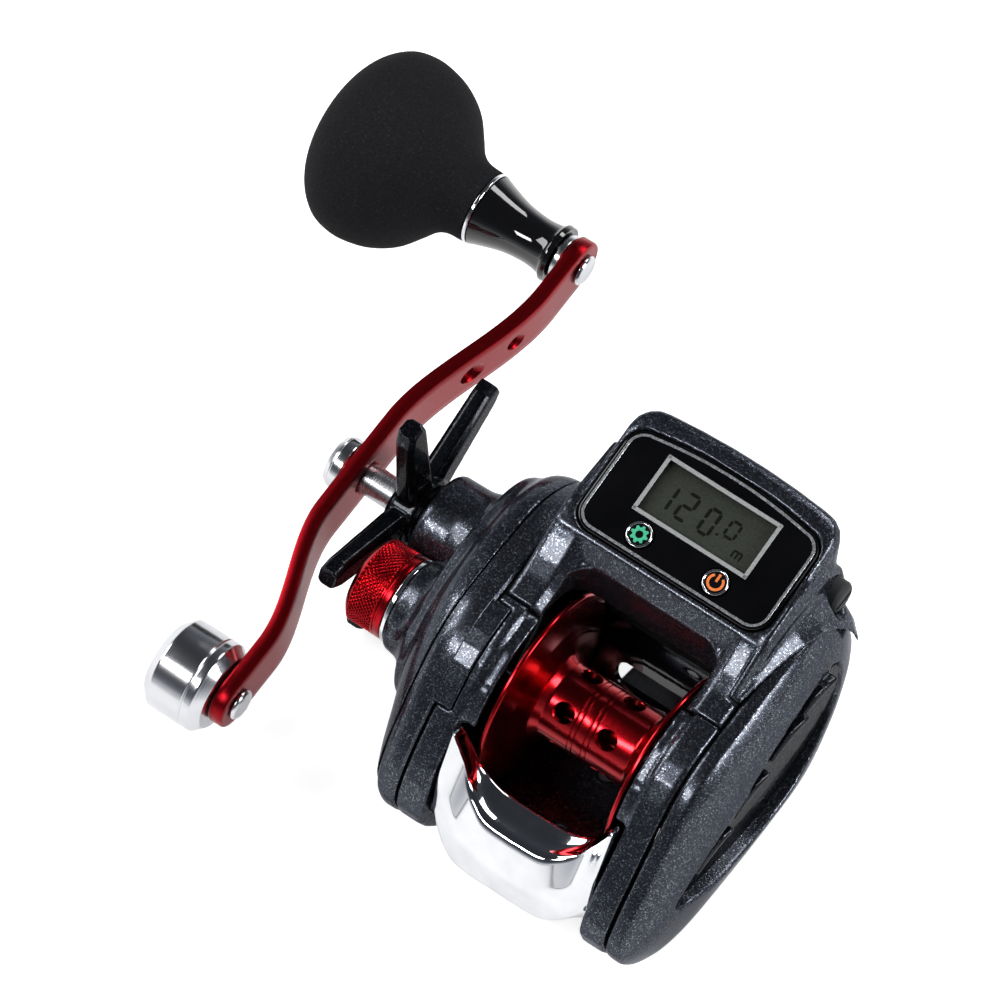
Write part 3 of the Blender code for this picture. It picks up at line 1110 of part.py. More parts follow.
def build_star():
    """Five-armed star that screws on the drive shaft, with the spring washer under it."""
    star = turned("star_drag", [
        (STAR_OUT, 0), (STAR_OUT, STAR_HUB_RADIUS - COVER_EDGE), (STAR_OUT + COVER_EDGE, STAR_HUB_RADIUS),
        (STAR_IN - COVER_EDGE, STAR_HUB_RADIUS), (STAR_IN, STAR_HUB_RADIUS - COVER_EDGE), (STAR_IN, 0)],
        DRIVE_AT, gloss_black())
    middle = (STAR_IN + STAR_OUT) / 2
    for index in range(STAR_ARMS):
        angle = STAR_FIRST_ANGLE + 2 * math.pi * index / STAR_ARMS
        rows = []
        for share in (0.15, 0.5, 0.9, 1.0):
            radius = STAR_REACH * share
            half = (STAR_ARM_WIDTH + (STAR_TIP_WIDTH - STAR_ARM_WIDTH) * share) / 2 * (0.7 if share == 1.0 else 1)
            x = middle - STAR_TIP_SET * share
            thick = STAR_ARM_THICKNESS / 2 * (1.1 - 0.25 * share)
            bevel = thick * 0.45
            ring = [(thick, bevel - half), (thick, half - bevel), (thick - bevel, half), (bevel - thick, half),
                    (-thick, half - bevel), (-thick, bevel - half), (bevel - thick, -half), (thick - bevel, -half)]
            c, s = math.cos(angle), math.sin(angle)
            rows.append([(x + dx, radius * c - w * s, radius * s + w * c) for dx, w in ring])
        join(star, loft("star_arm_%d" % index, rows, DRIVE_AT, cutter=True))
    bore = DRIVE_SHAFT_RADIUS + FIT_GAP
    cut(star, turned("star_bore", [(STAR_OUT - OVERRUN, 0), (STAR_OUT - OVERRUN, bore), (STAR_IN + OVERRUN, bore),
                                   (STAR_IN + OVERRUN, 0)], DRIVE_AT, cutter=True))
    turned("spring_washer", ring_profile(SPRING_WASHER_OUT, SPRING_WASHER_OUT + SPRING_WASHER_THICKNESS, bore,
                                         STAR_HUB_RADIUS * 0.9), DRIVE_AT, steel())


def ease(share):
    """Smooth step from 0 to 1."""
    share = max(0.0, min(1.0, share))
    return share * share * (3 - 2 * share)


def arm_inner_face(along):
    """X of the arm's inner face at a distance along it: flat at the hub, set in at both ends."""
    rise, end = (KNOB_ARM_SET, KNOB_BEND_END) if along > 0 else (WEIGHT_ARM_SET, WEIGHT_BEND_END)
    return ARM_IN + rise * ease((abs(along) - ARM_FLAT) / (end - ARM_FLAT))


def build_handle_arm():
    """Bent aluminium arm with rounded ends, two lightening holes and a seat on the shaft."""
    end = ARM_END_WIDTH / 2
    stations = []
    for length, side in ((WEIGHT_ARM_LENGTH, -1), (KNOB_ARM_LENGTH, 1)):
        rounds = [side * (length + end * math.sin(math.radians(a))) for a in (85, 65, 42, 18)]
        middle = [side * length * share for share in (0.92, 0.80, 0.66, 0.52, 0.38, 0.24, 0.12)]
        stations += rounds + middle + ([] if side == 1 else [0.0])
    rows = [arm_section(s) for s in sorted(set(stations))]
    arm = loft("handle_arm", rows, DRIVE_AT, red_anodised())
    for label, along, radius in (("shaft", 0.0, DRIVE_SHAFT_RADIUS + FIT_GAP),
                                 ("knob", KNOB_ARM_LENGTH, PIN_RADIUS + FIT_GAP),
                                 ("weight", -WEIGHT_ARM_LENGTH, PIN_RADIUS + FIT_GAP)):
        cut(arm, arm_hole("arm_hole_" + label, along, radius))
    for index, (along, radius) in enumerate(ARM_HOLES):
        cut(arm, arm_hole("light_hole_%d" % index, along, radius))


def arm_section(along):
    """One ring of the arm: a flat bar with bevelled edges, narrowed to a half round at its ends."""
    limit = KNOB_ARM_LENGTH if along > 0 else WEIGHT_ARM_LENGTH
    beyond = abs(along) - limit
    half = (ARM_HUB_WIDTH + (ARM_END_WIDTH - ARM_HUB_WIDTH) * ease(abs(along) / limit)) / 2
    if beyond > 0:
        end = ARM_END_WIDTH / 2
        half = math.sqrt(max(end * end - beyond * beyond, 0.0))
    inner = arm_inner_face(along)
    outer = inner - ARM_THICKNESS
    bevel = min(ARM_THICKNESS / 4, half / 2)
    ring = [(inner, bevel - half), (inner, half - bevel), (inner - bevel, half), (outer + bevel, half),
            (outer, half - bevel), (outer, bevel - half), (outer + bevel, -half), (inner - bevel, -half)]
    c, s = math.cos(ARM_ANGLE), math.sin(ARM_ANGLE)
    return [(x, along * c - w * s, along * s + w * c) for x, w in ring]


def arm_hole(name, along, radius):
    """A round hole through the arm."""
    x = arm_inner_face(along)
    y, z = along * math.cos(ARM_ANGLE), along * math.sin(ARM_ANGLE)
    return rod(name, (x + OVERRUN, y, z), (x - ARM_THICKNESS - OVERRUN, y, z), radius, DRIVE_AT,
               sides=SMALL_SIDES, cutter=True)


def build_handle_fittings():
    """Cap nut, rivets and the counterweight."""
    turned("handle_nut", [
        (NUT_IN - NUT_LENGTH * 0.72, 0), (NUT_IN - NUT_LENGTH * 0.72, DRIVE_SHAFT_RADIUS + FIT_GAP),
        (NUT_IN, DRIVE_SHAFT_RADIUS + FIT_GAP), (NUT_IN, NUT_RADIUS), (NUT_IN - NUT_LENGTH * 0.55, NUT_RADIUS),
        (NUT_IN - NUT_LENGTH * 0.85, NUT_RADIUS * 0.86), (NUT_OUT, NUT_RADIUS * 0.55), (NUT_OUT, 0)],
        DRIVE_AT, bright_metal())
    weight_in = WEIGHT_ARM_OUT - FIT_GAP
    weight_out = weight_in - WEIGHT_LENGTH
    sink = WEIGHT_CHAMFER
    turned("counterweight", [
        (weight_out + sink, 0), (weight_out + sink, PIN_RADIUS + FIT_GAP), (weight_in, PIN_RADIUS + FIT_GAP),
        (weight_in, WEIGHT_RADIUS - WEIGHT_CHAMFER), (weight_in - WEIGHT_CHAMFER, WEIGHT_RADIUS),
        (weight_out + WEIGHT_CHAMFER, WEIGHT_RADIUS), (weight_out, WEIGHT_RADIUS - WEIGHT_CHAMFER),
        (weight_out, 0)], WEIGHT_AT, bright_metal())
    rivet("counterweight_pin", WEIGHT_ARM_IN, weight_out + sink + FIT_GAP, WEIGHT_AT)


def rivet(name, arm_face, end, at):
    """A pin with its head on the arm's inner face."""
    head = arm_face + FIT_GAP
    turned(name, [(head + PIN_HEAD_THICKNESS, 0), (head + PIN_HEAD_THICKNESS, PIN_HEAD_RADIUS * 0.8),
                  (head + PIN_HEAD_THICKNESS / 2, PIN_HEAD_RADIUS), (head, PIN_HEAD_RADIUS), (head, PIN_RADIUS),
                  (end, PIN_RADIUS), (end, 0)], at, bright_metal(), sides=SMALL_SIDES)


def build_knob():
    """Power knob: a flared collar, a thin bright ring and a turned foam grip on one pin."""
    bore = PIN_RADIUS + FIT_GAP
    pin_end = GRIP_IN - GRIP_LENGTH * 0.30
    rivet("knob_pin", KNOB_ARM_IN, pin_end, KNOB_AT)
    turned("knob_bearing", ring_profile(COLLAR_IN + FIT_GAP, KNOB_ARM_OUT - FIT_GAP, bore, KNOB_BEARING_RADIUS,
                                        FIT_GAP), KNOB_AT, bright_metal(), sides=SMALL_SIDES)
    collar = [(COLLAR_IN - share * COLLAR_LENGTH, radius * COLLAR_RADIUS) for share, radius in COLLAR_SHARES]
    turned("knob_collar", [(COLLAR_IN, bore)] + collar + [(COLLAR_OUT, bore)], KNOB_AT, gloss_black())
    ring_in = COLLAR_OUT - FIT_GAP
    turned("knob_ring", ring_profile(ring_in - KNOB_RING_WIDTH, ring_in, bore, COLLAR_RADIUS + FIT_GAP), KNOB_AT,
           chrome())
    grip = [(GRIP_IN - share * GRIP_LENGTH, radius * GRIP_RADIUS) for share, radius in GRIP_SHARES]
    turned("knob_grip", [(pin_end - FIT_GAP, 0), (pin_end - FIT_GAP, bore), (GRIP_IN, bore)] + grip
           + [(GRIP_OUT, 0)], KNOB_AT, foam())


def build_thumb_bar():
    """Clutch bar: a saddle between the rings, high at the sides and hollowed for the thumb."""
    stations = [(-share, *rest) for share, *rest in THUMB_SHARES[:0:-1]] + list(THUMB_SHARES)
    rows = []
    for share, forward_share, rise_share, heel_share in stations:
        rise, forward = THUMB_SIDE_RISE * rise_share, THUMB_SIDE_FORWARD * forward_share
        x = share * THUMB_BAR_HALF_WIDTH
        edge = (THUMB_EDGE[0] + forward * 0.25, THUMB_EDGE[1] + rise * 0.9)
        ridge = (THUMB_RIDGE[0] + forward, THUMB_RIDGE[1] + rise)
        heel = (THUMB_HEEL[0] + THUMB_HEEL_FORWARD * heel_share, THUMB_HEEL[1] + THUMB_HEEL_RISE * heel_share)
        toe = (THUMB_TOE[0] + THUMB_HEEL_FORWARD * heel_share * 0.5, THUMB_TOE[1])
        dip = ((edge[0] + ridge[0]) / 2, (edge[1] + ridge[1]) / 2 - THUMB_DIP * (1 - rise_share))
        belly = ((ridge[0] + heel[0]) / 2 - THUMB_DIP * 1.2, (ridge[1] + heel[1]) / 2)
        ring = [edge, dip, ridge, belly, heel, toe, THUMB_INNER]
        rows.append([(x, y, z) for y, z in ring])
    loft("thumb_bar", rows, material=chrome())


def build_clutch():
    """Yoke that slides the pinion on two posts, and its springs."""
    teeth_in = DRIVE_GEAR_IN + (PINION_TOOTH_WIDTH - DRIVE_GEAR_WIDTH) / 4
    low = teeth_in + (PINION_GROOVE_WIDTH - YOKE_THICKNESS) / 2
    half = YOKE_WIDTH / 2
    yoke = block("clutch_yoke", (low, POST_SETBACK - half, -YOKE_LENGTH / 2),
                 (low + YOKE_THICKNESS, POST_SETBACK + half * 0.55, YOKE_LENGTH / 2), material=steel())
    notch = rod("yoke_notch", (low - OVERRUN, 0, 0), (low + YOKE_THICKNESS + OVERRUN, 0, 0),
                PINION_GROOVE_RADIUS + FIT_GAP, sides=SMALL_SIDES, cutter=True)
    mouth = block("yoke_mouth", (low - OVERRUN, 0, -PINION_GROOVE_RADIUS - FIT_GAP),
                  (low + YOKE_THICKNESS + OVERRUN, YOKE_WIDTH, PINION_GROOVE_RADIUS + FIT_GAP), cutter=True)
    cut(yoke, notch, mouth)
    for side, label in ((1, "upper"), (-1, "lower")):
        z = side * POST_SPACING / 2
        cut(yoke, rod("yoke_post_hole_" + label, (low - OVERRUN, POST_SETBACK, z),
                      (low + YOKE_THICKNESS + OVERRUN, POST_SETBACK, z), POST_RADIUS + FIT_GAP, sides=HOLE_SIDES,
                      cutter=True))
        coil_spring("yoke_spring_" + label, low - FIT_GAP, BAND_OUT - POST_REACH, POST_SETBACK, z)


def coil_spring(name, high, low, y, z):
    """An open coil round a post, from the yoke out to the post's end."""
    radius = POST_RADIUS + FIT_GAP * 2 + SPRING_WIRE_RADIUS
    count = SPRING_TURNS * SPRING_TURN_STEPS
    start, end = high - SPRING_WIRE_RADIUS, low + SPRING_WIRE_RADIUS
    rows = []
    for i in range(count + 1):
        angle = 2 * math.pi * i / SPRING_TURN_STEPS
        x = start + (end - start) * i / count
        c, s = math.cos(angle), math.sin(angle)
        rows.append([(x + dx, y + (radius + dr) * c, z + (radius + dr) * s)
                     for dx, dr in ((SPRING_WIRE_RADIUS, 0.0), (0.0, SPRING_WIRE_RADIUS),
                                    (-SPRING_WIRE_RADIUS, 0.0), (0.0, -SPRING_WIRE_RADIUS))])
    loft(name, rows, material=steel())


def build_worm():
    """Level wind worm: a shaft with two crossing grooves, worked out as one surface."""
    form = bmesh.new()
    start, end = -WORM_LENGTH / 2, WORM_LENGTH / 2
    rows = []
    for i in range(WORM_LONG_STEPS + 1):
        x = start + (end - start) * i / WORM_LONG_STEPS
        fade = min(1.0, (WORM_LENGTH / 2 - abs(x)) / WORM_GROOVE_PITCH * 2)
        row = []
        for j in range(WORM_ROUND_STEPS):
            angle = 2 * math.pi * j / WORM_ROUND_STEPS
            depth = max(groove_share(x, angle), groove_share(x, -angle)) * WORM_GROOVE_DEPTH * fade
            radius = WORM_RADIUS - depth
            row.append(form.verts.new((x, radius * math.cos(angle), radius * math.sin(angle))))
        rows.append(row)
    for low, high in zip(rows, rows[1:]):
        for j in range(WORM_ROUND_STEPS):
            k = (j + 1) % WORM_ROUND_STEPS
            form.faces.new((low[j], low[k], high[k], high[j]))
    form.faces.new(rows[0])
    form.faces.new(rows[-1][::-1])
    worm = place("worm_shaft", mesh_of("worm_shaft", form), WORM_AT, steel())
    gear_end = WIND_GEAR_OUT + FIT_GAP
    palm_end = RING_OUT - FIT_GAP
    join(worm, turned("worm_journal", [(gear_end, 0), (gear_end, WORM_JOURNAL_RADIUS),
                                       (palm_end, WORM_JOURNAL_RADIUS), (palm_end, 0)], WORM_AT,
                      sides=SMALL_SIDES, cutter=True))


def groove_share(x, angle):
    """How deep a helical groove is at a place on the shaft, from 0 to 1."""
    phase = (x / WORM_GROOVE_PITCH - angle / (2 * math.pi)) % 1.0
    away = min(phase, 1 - phase)
    return max(0.0, 1 - (away / WORM_GROOVE_WIDTH_SHARE) ** 2)


def build_line_guide():
    """Carriage on the worm and the rail, with a ceramic eye that the line runs through."""
    turned("guide_rail", [(-RING_OUT + RING_WEB + FIT_GAP, 0), (-RING_OUT + RING_WEB + FIT_GAP, RAIL_RADIUS),
                          (RING_OUT - RING_WEB - FIT_GAP, RAIL_RADIUS), (RING_OUT - RING_WEB - FIT_GAP, 0)],
           RAIL_AT, steel(), sides=SMALL_SIDES)
    half = GUIDE_WIDTH / 2
    body_radius = WORM_RADIUS + SEAT_GAP + GUIDE_WALL
    guide = turned("line_guide", [(-half, 0), (-half, body_radius), (half, body_radius), (half, 0)], WORM_AT,
                   gloss_black(), sides=SIDES)
    rail_radius = RAIL_RADIUS + SEAT_GAP + GUIDE_WALL * 0.8
    offset_y, offset_z = RAIL_OFFSET
    short = half * 0.9
    rail_eye = rod("rail_eye", (-short, offset_y, offset_z), (short, offset_y, offset_z), rail_radius, WORM_AT,
                   cutter=True)
    eye_outer = EYE_RADIUS + EYE_WALL
    head_half = eye_outer + GUIDE_WALL * 0.7
    depth = GUIDE_HEAD_DEPTH / 2
    eye_z = GUIDE_HEAD_HEIGHT - head_half
    head = block("guide_head", (-head_half, -depth, body_radius * 0.6), (head_half, depth, GUIDE_HEAD_HEIGHT), WORM_AT,
                 cutter=True, rounding=depth * 0.5)
    join(guide, rail_eye, head)
    bores = [rod("worm_clearance", (-half - OVERRUN, 0, 0), (half + OVERRUN, 0, 0), WORM_RADIUS + SEAT_GAP, WORM_AT,
                 cutter=True),
             rod("rail_clearance", (-half - OVERRUN, offset_y, offset_z), (half + OVERRUN, offset_y, offset_z),
                 RAIL_RADIUS + SEAT_GAP, WORM_AT, cutter=True),
             rod("eye_seat", (0, -depth - OVERRUN, eye_z), (0, depth + OVERRUN, eye_z), eye_outer + FIT_GAP, WORM_AT,
                 sides=SMALL_SIDES, cutter=True)]
    cut(guide, *bores)
    insert = rod("guide_insert", (0, -depth - FIT_GAP, eye_z), (0, depth + FIT_GAP, eye_z), eye_outer, WORM_AT,
                 bright_metal(), sides=SMALL_SIDES)
    cut(insert, rod("eye_bore", (0, -depth - OVERRUN, eye_z), (0, depth + OVERRUN, eye_z), EYE_RADIUS, WORM_AT,
                    sides=SMALL_SIDES, cutter=True))


def arc_points(radius, start, end, steps):
    """Points (y, z) along an arc about the spool axis."""
    return [(radius * math.cos(start + (end - start) * i / steps), radius * math.sin(start + (end - start) * i / steps))
            for i in range(steps + 1)]


def build_line_shield():
    """Gloss wall that follows the spool at its lower front, with a slot."""
    inner = arc_points(RING_BORE, SHIELD_LOW_ANGLE, SHIELD_HIGH_ANGLE, 12)
    outer = arc_points(RING_BORE + SHIELD_THICKNESS, SHIELD_LOW_ANGLE, SHIELD_HIGH_ANGLE, 12)
    half = RING_IN - SEAT_GAP
    shield = prism("line_shield", outer + inner[::-1], -half, half, material=gloss_black())
    middle = (SHIELD_SLOT_LOW + SHIELD_SLOT_HIGH) / 2
    reach = (RING_BORE + SHIELD_THICKNESS / 2)
    way = Vector((0.0, math.cos(middle), math.sin(middle)))
    slot_radius = RING_BORE * math.sin((SHIELD_SLOT_HIGH - SHIELD_SLOT_LOW) / 2)
    ends = [rod("slot_end_%d" % i, Vector((x, 0, 0)) + way * (reach - OVERRUN * 1.5),
                Vector((x, 0, 0)) + way * (reach + OVERRUN * 1.5), slot_radius, cutter=True)
            for i, x in enumerate((SHIELD_SLOT_LEFT + slot_radius, SHIELD_SLOT_RIGHT - slot_radius))]
    side = Vector((0.0, -math.sin(middle), math.cos(middle))) * slot_radius
    near, far = way * (reach - OVERRUN * 1.5), way * (reach + OVERRUN * 1.5)
    outline = [(p.y, p.z) for p in (near - side, far - side, far + side, near + side)]
    bridge = prism("slot_bridge", outline, SHIELD_SLOT_LEFT + slot_radius, SHIELD_SLOT_RIGHT - slot_radius, cutter=True)
    cut(shield, *ends, bridge)


def housing_ring(margin, height):
    """Ring of the display housing parallel to its face."""
    plan = rounded_plan(HOUSING_HALF_WIDTH - margin, HOUSING_REAR - margin, HOUSING_FRONT - margin,
                        HOUSING_CORNER - margin / 2, HOUSING_ARCH)
    return [face_point(x, along, height) for x, along in plan]


def housing_base_ring(margin, z):
    """Level ring at the bottom of the display housing."""
    plan = rounded_plan(HOUSING_HALF_WIDTH - margin, HOUSING_REAR - margin, HOUSING_FRONT * 0.86 - margin,
                        HOUSING_CORNER - margin / 2, 0.0)
    return [(x, FACE_CENTRE[0] + along, z) for x, along in plan]


def cover_arm(name, side):
    """One arm of the cover beside the thumb opening, bevelled towards the opening."""
    inner, outer = side * OPENING_HALF_WIDTH, side * RING_OUT
    drops = ((outer, COVER_EDGE), (outer - side * COVER_EDGE, 0.0), (inner + side * ARM_BEVEL * 1.2, 0.0),
             (inner, ARM_BEVEL))
    rows = []
    for x, drop in drops:
        rows.append([(x, y, z - (drop if i < 7 else 0.0)) for i, (y, z) in enumerate(map(on_plate, ARM_SHARES))])
    return loft(name, rows, cutter=True)


def opening_corner(name, side):
    """Fillet in a front corner of the thumb opening, falling with the arms towards the rear."""
    radius, sunk = OPENING_CORNER, ARM_BEVEL
    x, y = side * OPENING_HALF_WIDTH, BROW_REAR
    plan = [(x - side * radius, y + sunk), (x + side * sunk, y + sunk), (x + side * sunk, y - radius)]
    for step in range(OPENING_CORNER_STEPS + 1):
        angle = math.radians(90) * step / OPENING_CORNER_STEPS
        plan.append((x - side * radius * (1 - math.cos(angle)), y - radius * (1 - math.sin(angle))))
    rings = [[(px, py, HOUSING_BOTTOM) for px, py in plan],
             [(px, py, BROW_TOP - (y - py) * OPENING_FALL_SHARE) for px, py in plan]]
    return loft(name, rings, cutter=True)


def skirt_sections():
    """Sections of the right skirt along the palm plate's crown, from the front corner to the arm."""
    outline = plate_outline(PALM_OUTLINE_SHARES)
    crown = inset(outline, -SEAT_GAP)
    band = PALM_IN + PALM_BAND
    sections = []
    for step, (reach_share, rise_share) in enumerate(SKIRT_SHARES):
        index = SKIRT_FIRST_POINT + step
        before, after = Vector(outline[index - 1]), Vector(outline[index + 1])
        run = (after - before).normalized()
        normal = Vector((run.y, -run.x))
        foot = Vector(crown[index])
        wall = HOUSING_HALF_WIDTH
        reach = wall + SKIRT_REACH * reach_share
        beyond = max(0.0, reach - band) / (wall + SKIRT_REACH - band)
        fall = beyond * beyond * SKIRT_FALL
        rise = SKIRT_RISE * rise_share
        shape = [(wall - COVER_EDGE, 0.0), (min(band, reach - FIT_GAP), 0.0), (reach, -fall), (reach, SKIRT_LIP - fall),
                 (wall + (reach - wall) * 0.62, rise * 0.17 + SKIRT_LIP), (wall + (reach - wall) * 0.28, rise * 0.45),
                 (wall + FIT_GAP, rise), (wall - COVER_EDGE, rise)]
        sections.append([(x, foot.x + normal.x * high, foot.y + normal.y * high) for x, high in shape])
    return sections


def build_top_cover():
    """Display housing, its two arms, the brow over the thumb opening and the right shoulder."""
    cover = loft("top_cover", [
        housing_base_ring(0.0, HOUSING_BOTTOM), housing_ring(0.0, -HOUSING_ROUND * 1.1),
        housing_ring(HOUSING_ROUND * 0.3, -HOUSING_ROUND * 0.3), housing_ring(HOUSING_ROUND, 0.0)],
        material=graphite_paint())
    brow = prism("brow", [(BROW_REAR, HOUSING_BOTTOM), (FACE_CENTRE[0], HOUSING_BOTTOM),
                          (FACE_CENTRE[0], FACE_CENTRE[1] - BAY_CEILING),
                          face_point(0, -HOUSING_REAR + HOUSING_ROUND, 0.0)[1:], face_point(0, -HOUSING_REAR, -FIT_GAP)[1:],
                          (BROW_REAR, BROW_TOP)], -HOUSING_HALF_WIDTH + COVER_EDGE,
                 HOUSING_HALF_WIDTH - COVER_EDGE, cutter=True)
    join(cover, brow, cover_arm("left_cover_arm", -1), cover_arm("right_cover_arm", 1),
         opening_corner("left_opening_corner", -1), opening_corner("right_opening_corner", 1),
         loft("skirt", skirt_sections(), cutter=True))
    clearance = RING_BORE + FIT_GAP
    spool_room = turned("spool_room", [(-RING_OUT - OVERRUN, 0), (-RING_OUT - OVERRUN, clearance),
                                       (RING_OUT + OVERRUN / 2, clearance), (RING_OUT + OVERRUN / 2, 0)],
                        sides=FINE_SIDES, cutter=True)
    bay = loft("bay", [housing_base_ring(HOUSING_WALL, HOUSING_BOTTOM - OVERRUN),
                       housing_ring(HOUSING_WALL, -BAY_CEILING)], cutter=True)
    cut(cover, spool_room, bay, face_slab("glass_seat", glass_plan(FIT_GAP), -GLASS_THICKNESS - FIT_GAP,
                                          OVERRUN, cutter=True), lcd_window())
    for side, label in ((-1, "mode"), (1, "power")):
        cut(cover, face_rod("stem_hole_" + label, side * BUTTON_SPACING / 2, -BUTTON_SETBACK, -BAY_CEILING - OVERRUN,
                            OVERRUN, BUTTON_STEM_RADIUS + SEAT_GAP, cutter=True, sides=HOLE_SIDES))
    seat = HOUSING_HALF_WIDTH + FIT_GAP
    y, z = on_plate(CAP_PLACE_SHARES)
    cut(cover, rod("cap_seat", (seat, y, z), (2 * seat, y, z), CAP_DISC_RADIUS + SEAT_GAP, sides=SIDES, cutter=True))
    build_battery_cap(seat + FIT_GAP, y, z)


def build_battery_cap(start, y, z):
    """Round cap of the cell, with a coin slot across its face."""
    end = CAP_DISC_END
    cap = turned("battery_cap", [(start, 0), (start, CAP_DISC_RADIUS), (end - CAP_DISC_EDGE, CAP_DISC_RADIUS),
                                 (end, CAP_DISC_RADIUS - CAP_DISC_EDGE), (end, 0)],
                 SPOOL_AT + Vector((0.0, y, z)), rubber())
    width, length, depth = CAP_SLOT
    cut(cap, block("coin_slot", (end - depth, -length, -width / 2), (end + OVERRUN, length, width / 2),
                   SPOOL_AT + Vector((0.0, y, z)), cutter=True))


def glass_plan(gap):
    return rounded_plan(GLASS_HALF_WIDTH + gap, GLASS_REAR + gap, GLASS_FRONT + gap, GLASS_CORNER, GLASS_ARCH)


def lcd_window():
    """Opening under the glass that the liquid crystal module stands in."""
    half_w, half_l = LCD_WIDTH / 2 + FIT_GAP, LCD_LENGTH / 2 + FIT_GAP
    plan = [(half_w, LCD_FORWARD + half_l), (-half_w, LCD_FORWARD + half_l), (-half_w, LCD_FORWARD - half_l),
            (half_w, LCD_FORWARD - half_l)]
    return face_slab("lcd_window", plan, -BAY_CEILING - OVERRUN, OVERRUN, cutter=True)


def rectangle(half_w, half_l, middle):
    return [(half_w, middle + half_l), (-half_w, middle + half_l), (-half_w, middle - half_l), (half_w, middle - half_l)]


def build_display():
    """Glass, liquid crystal module, circuit board, cell and base of the line counter."""
    glass = face_slab("display_glass", glass_plan(0.0), -GLASS_THICKNESS, 0.0, gloss_black())
    for side, label in ((-1, "mode"), (1, "power")):
        x = side * BUTTON_SPACING / 2
        cut(glass, face_rod("glass_hole_" + label, x, -BUTTON_SETBACK, -OVERRUN, OVERRUN,
                            BUTTON_RADIUS + FIT_GAP, cutter=True, sides=SMALL_SIDES))
        button = face_rod(label + "_button", x, -BUTTON_SETBACK, BUTTON_PROUD - BUTTON_HEAD, BUTTON_PROUD,
                          BUTTON_RADIUS, gloss_black(), sides=SMALL_SIDES)
        join(button, face_rod("stem_" + label, x, -BUTTON_SETBACK, -BUTTON_STEM - BUTTON_HEAD / 2,
                              -FIT_GAP, BUTTON_STEM_RADIUS, cutter=True, sides=HOLE_SIDES))
    top = -GLASS_THICKNESS - FIT_GAP * 2
    face_slab("lcd_module", rectangle(LCD_WIDTH / 2, LCD_LENGTH / 2, LCD_FORWARD), top - LCD_THICKNESS, top,
              bright_metal())
    face_slab("circuit_board", rectangle(BOARD_WIDTH / 2, BOARD_LENGTH / 2, 0.0), -BOARD_DEPTH - BOARD_THICKNESS,
              -BOARD_DEPTH, finish("green_board", 28, 92, 54, 0.5, 0.0))
    low = HOUSING_BOTTOM + BASE_THICKNESS + FIT_GAP
    block("battery", (-BATTERY_WIDTH / 2, FACE_CENTRE[0] - BATTERY_LENGTH / 2, low),
          (BATTERY_WIDTH / 2, FACE_CENTRE[0] + BATTERY_LENGTH / 2, low + BATTERY_HEIGHT), material=steel(),
          rounding=FIT_GAP * 3)
    base = [housing_base_ring(HOUSING_WALL + FIT_GAP * 2.5, z) for z in (HOUSING_BOTTOM, HOUSING_BOTTOM + BASE_THICKNESS)]
    loft("display_base", base, material=gloss_black())


def build_palm_side():
    """Palm plate: a band, a low dome with a dark crescent recess, and the finned insert in it."""
    outline = plate_outline(PALM_OUTLINE_SHARES)
    dome = [(PALM_IN + share_x * PALM_DEPTH, shrunk(outline, share, PALM_DOME_CENTRE_SHARE))
            for share_x, share in PALM_DOME_SHARES]
    plate = loft("palm_side_plate", rings_along_x([
        (PALM_IN, inset(outline, COVER_EDGE)), (PALM_IN + COVER_EDGE, outline), (PALM_IN + PALM_BAND, outline)] + dome),
        material=graphite_paint())
    hollow = prism("palm_hollow", inset(outline, PALM_WALL), PALM_IN - OVERRUN, PALM_IN + PALM_HOLLOW_DEPTH, cutter=True)
    crescent = smooth_loop([on_plate(pair) for pair in RECESS_SHARES], 3)
    recess = prism("recess", crescent, PALM_IN + RECESS_FLOOR, PALM_OUT + OVERRUN, cutter=True)
    cut(plate, hollow, recess)
    floor = PALM_IN + RECESS_FLOOR + FIT_GAP
    grille = prism("palm_grille", inset(crescent, SEAT_GAP), floor, floor + GRILLE_THICKNESS, material=gloss_black())
    for index, (share_y, share_z, degrees) in enumerate(FIN_SHARES):
        join(grille, fin("fin_%d" % index, *on_plate((share_y, share_z)), math.radians(degrees), floor))


def fin(name, y, z, angle, floor):
    """One curved fin of the grille, thick at its root and lower at its tip."""
    rows = []
    for i in range(7):
        t = i / 6
        along = (t - 0.5) * FIN_LENGTH
        bow = FIN_WIDTH * 0.35 * (1 - (2 * t - 1) ** 2)
        half = FIN_WIDTH / 2 * (0.35 + 0.65 * math.sin(math.pi * min(1.0, t * 0.8 + 0.14)))
        top = floor + GRILLE_THICKNESS / 2 + FIN_HEIGHT * (0.55 + 0.45 * t)
        ring = [(floor + GRILLE_THICKNESS / 2, bow - half), (top - half * 0.4, bow - half), (top, bow - half * 0.5),
                (top, bow + half * 0.5), (top - half * 0.4, bow + half), (floor + GRILLE_THICKNESS / 2, bow + half)]
        c, s = math.cos(angle), math.sin(angle)
        rows.append([(x, y + along * c - w * s, z + along * s + w * c) for x, w in ring])
    return loft(name, rows, cutter=True)


def build_brake():
    """Magnetic brake behind the palm plate: the plate that carries the bearing, and its magnets."""
    low = PALM_IN
    seat = BEARING_RADIUS + FIT_GAP
    boss = seat + BOSS_WALL / 2
    wide = low + BEARING_WIDTH + FIT_GAP * 4
    plate = turned("brake_plate", [
        (low, seat), (low, BRAKE_PLATE_RADIUS), (low + BRAKE_PLATE_THICKNESS, BRAKE_PLATE_RADIUS),
        (low + BRAKE_PLATE_THICKNESS, boss), (wide, boss), (wide, SHAFT_RADIUS + SEAT_GAP),
        (wide - FIT_GAP * 2, SHAFT_RADIUS + SEAT_GAP), (wide - FIT_GAP * 2, seat)], material=gloss_black())
    turned("magnet_ring", ring_profile(low - FIT_GAP - MAGNET_WIDTH, low - FIT_GAP, MAGNET_INNER_RADIUS,
                                       MAGNET_OUTER_RADIUS), material=steel())
    return plate


